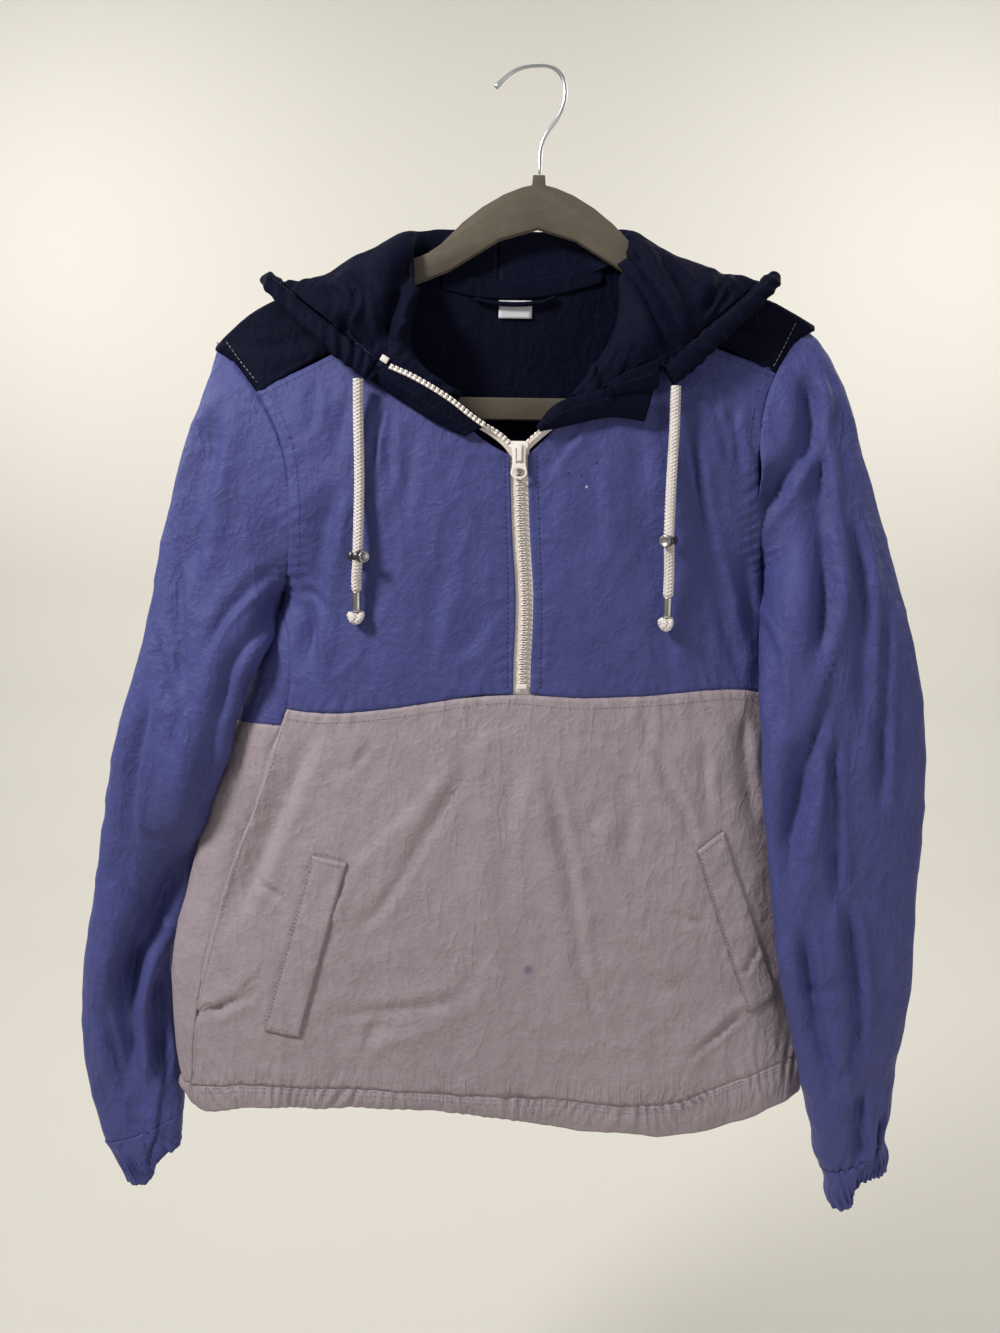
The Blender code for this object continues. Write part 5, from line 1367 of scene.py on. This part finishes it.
# gauges: a stitch's length, the gap to the next and the thread's width
seamGauge, fineGauge = (2.5, 0.9, 0.55), (2.5, 0.9, 0.5)
yokeGauge, zipGauge = (2.6, 1.1, 0.5), (2.4, 1.2, 0.8)
bandGauge, guardGauge, neckGauge = (2.4, 1.2, 0.5), (2.4, 1.4, 0.5), (2.4, 0.9, 0.5)
makeStitches("stitches_yoke", whiteThread, [
    (treeYoke, [(-229, -189.6), (-215.8, -206.3), (-200.9, -223)], yokeGauge),
    (treeYoke, [(191, -170.7), (182.6, -187.5), (173.4, -204.4)], yokeGauge),
])
makeStitches("stitches_collar", navyThread, [
    (treeCollar, [(-99, -223), (-78, -236), (-58, -248), (-46, -254)], (2.2, 2.0, 0.42)),
])
makeStitches("stitches_blue", blueThread, [
    (treeFront, zipLeft, zipGauge), (treeFront, zipRight, zipGauge),
    (treeFront, beside(armLeft, -7), seamGauge), (treeFront, beside(armRight, 7), seamGauge),
    (treeFront, beside(yokeLeft, -4), fineGauge), (treeFront, beside(yokeRight, 4), fineGauge),
    (treeBack, beside(armLeftBack, 7), seamGauge, -1), (treeBack, beside(armRightBack, -7), seamGauge, -1),
])
hemRows = [(tree, below(hemSeam[1:-1], far), seamGauge, way)
           for tree, way in ((treeFront, 1), (treeBack, -1)) for far in (2.2, 5.6)]
makeStitches("stitches_lilac", lilacThread, weltRows() + hemRows + [
    (treeFront, below(chestSeam[1:-1], 7.5), seamGauge),
    (treeBack, below([(-250, -472.5), (-178, -472), (190, -451.5)], 7.5), seamGauge, -1),
    (treeFront, beside(sideSeam[1:-1], -2.5), fineGauge),
])
makeStitches("stitches_navy", navyThread, [
    (treeCollar, [(52, -224.5), (64, -220.5), (80, -216)], bandGauge),
    (treeCollar, [(6, -250.5), (20, -241), (44, -233.5), (72, -228)], guardGauge),
    (treeHood, beside(casingLeft, 3), seamGauge), (treeHood, beside(casingRight, -3), seamGauge),
    (treeHood, [(-26, -112), (-26, -150)], fineGauge), (treeHood, [(-31, -112), (-31, -150)], fineGauge),
    (treeHood, [(-25, -120), (-25, -360)], fineGauge, -1),
    (treeHood, [(-31, -120), (-31, -360)], fineGauge, -1),
    (treeNeck, [(-66, -133), (-50, -138), (-26, -141), (4, -139), (30, -134), (44, -130)], neckGauge),
    (treeBack, [(-225, -296.5), (0, -296.5), (190, -296.5)], fineGauge, -1),
])
print("stitches made")


# room: a pale floor and backdrop, and soft light
floorColour = (0.62, 0.59, 0.53)
# lamps: where each stands, what it looks at, its size and its power
lamps = {
    "key": ((-1.25, -0.95, 0.75), (0, 0, -0.42), 0.42, 35.0),
    "fill": ((1.15, -1.2, -0.55), (0, 0, -0.6), 1.2, 5.5),
    "top": ((0.1, -0.2, 1.3), (0, 0.1, -0.4), 1.2, 5.0),
    "wall_left": ((-1.9, 1.1, 0.9), (-0.4, 2.8, -0.3), 1.4, 42.0),
    "wall_right": ((1.9, 1.1, 0.9), (0.4, 2.8, -0.3), 1.4, 42.0),
    "behind": ((0.9, 1.6, 0.5), (0, 0, -0.45), 1.0, 7.0),
}
skyStrength = 0.26
# the sweep's profile: how far back, and height
sweepProfile = [(-6, -1.5), (-0.2, -1.5), (1.7, -1.5), (2.1, -1.44), (2.45, -1.28), (2.72, -1.0),
                (2.83, -0.6), (2.83, 5.0)]


def makeRoom():
    look = Look("paleBoard", {"Specular IOR Level": 0.2})
    cloud = look.cloudy(3, 2, 0.5)
    tint = look.mix(cloud * 0.3, floorColour, [c * 0.95 for c in floorColour])
    points = [(x, y, z) for y, z in sweepProfile for x in (-9, 9)]
    faces = [(2 * k, 2 * k + 1, 2 * k + 3, 2 * k + 2) for k in range(len(sweepProfile) - 1)]
    mesh = meshOf("sweep", points, faces)
    mesh.materials.append(look.finish(tint, 0.85 + cloud * 0.1))
    mesh.shade_smooth()
    linked("studio_sweep", mesh)
    for name, (place, aim, size, power) in lamps.items():
        data = bpy.data.lights.new(name, "AREA")
        data.shape = "DISK"
        data.size = size
        data.energy = power
        lamp = linked(name, data)
        lamp.location = place
        lamp.visible_camera = False
        lamp.rotation_euler = (Vector(aim) - Vector(place)).to_track_quat("-Z", "Y").to_euler()
    world = bpy.data.worlds.new("studio")
    world.use_nodes = True
    sky = world.node_tree.nodes["Background"].inputs
    sky["Color"].default_value = (1.0, 1.0, 1.0, 1)
    sky["Strength"].default_value = skyStrength
    bpy.context.scene.world = world
    bpy.context.scene.view_settings.view_transform = "Standard"


makeRoom()
shown = [o.data for o in bpy.data.objects if o.type == "MESH" and not o.hide_render]
print("triangles", sum(len(face.vertices) - 2 for mesh in shown for face in mesh.polygons))
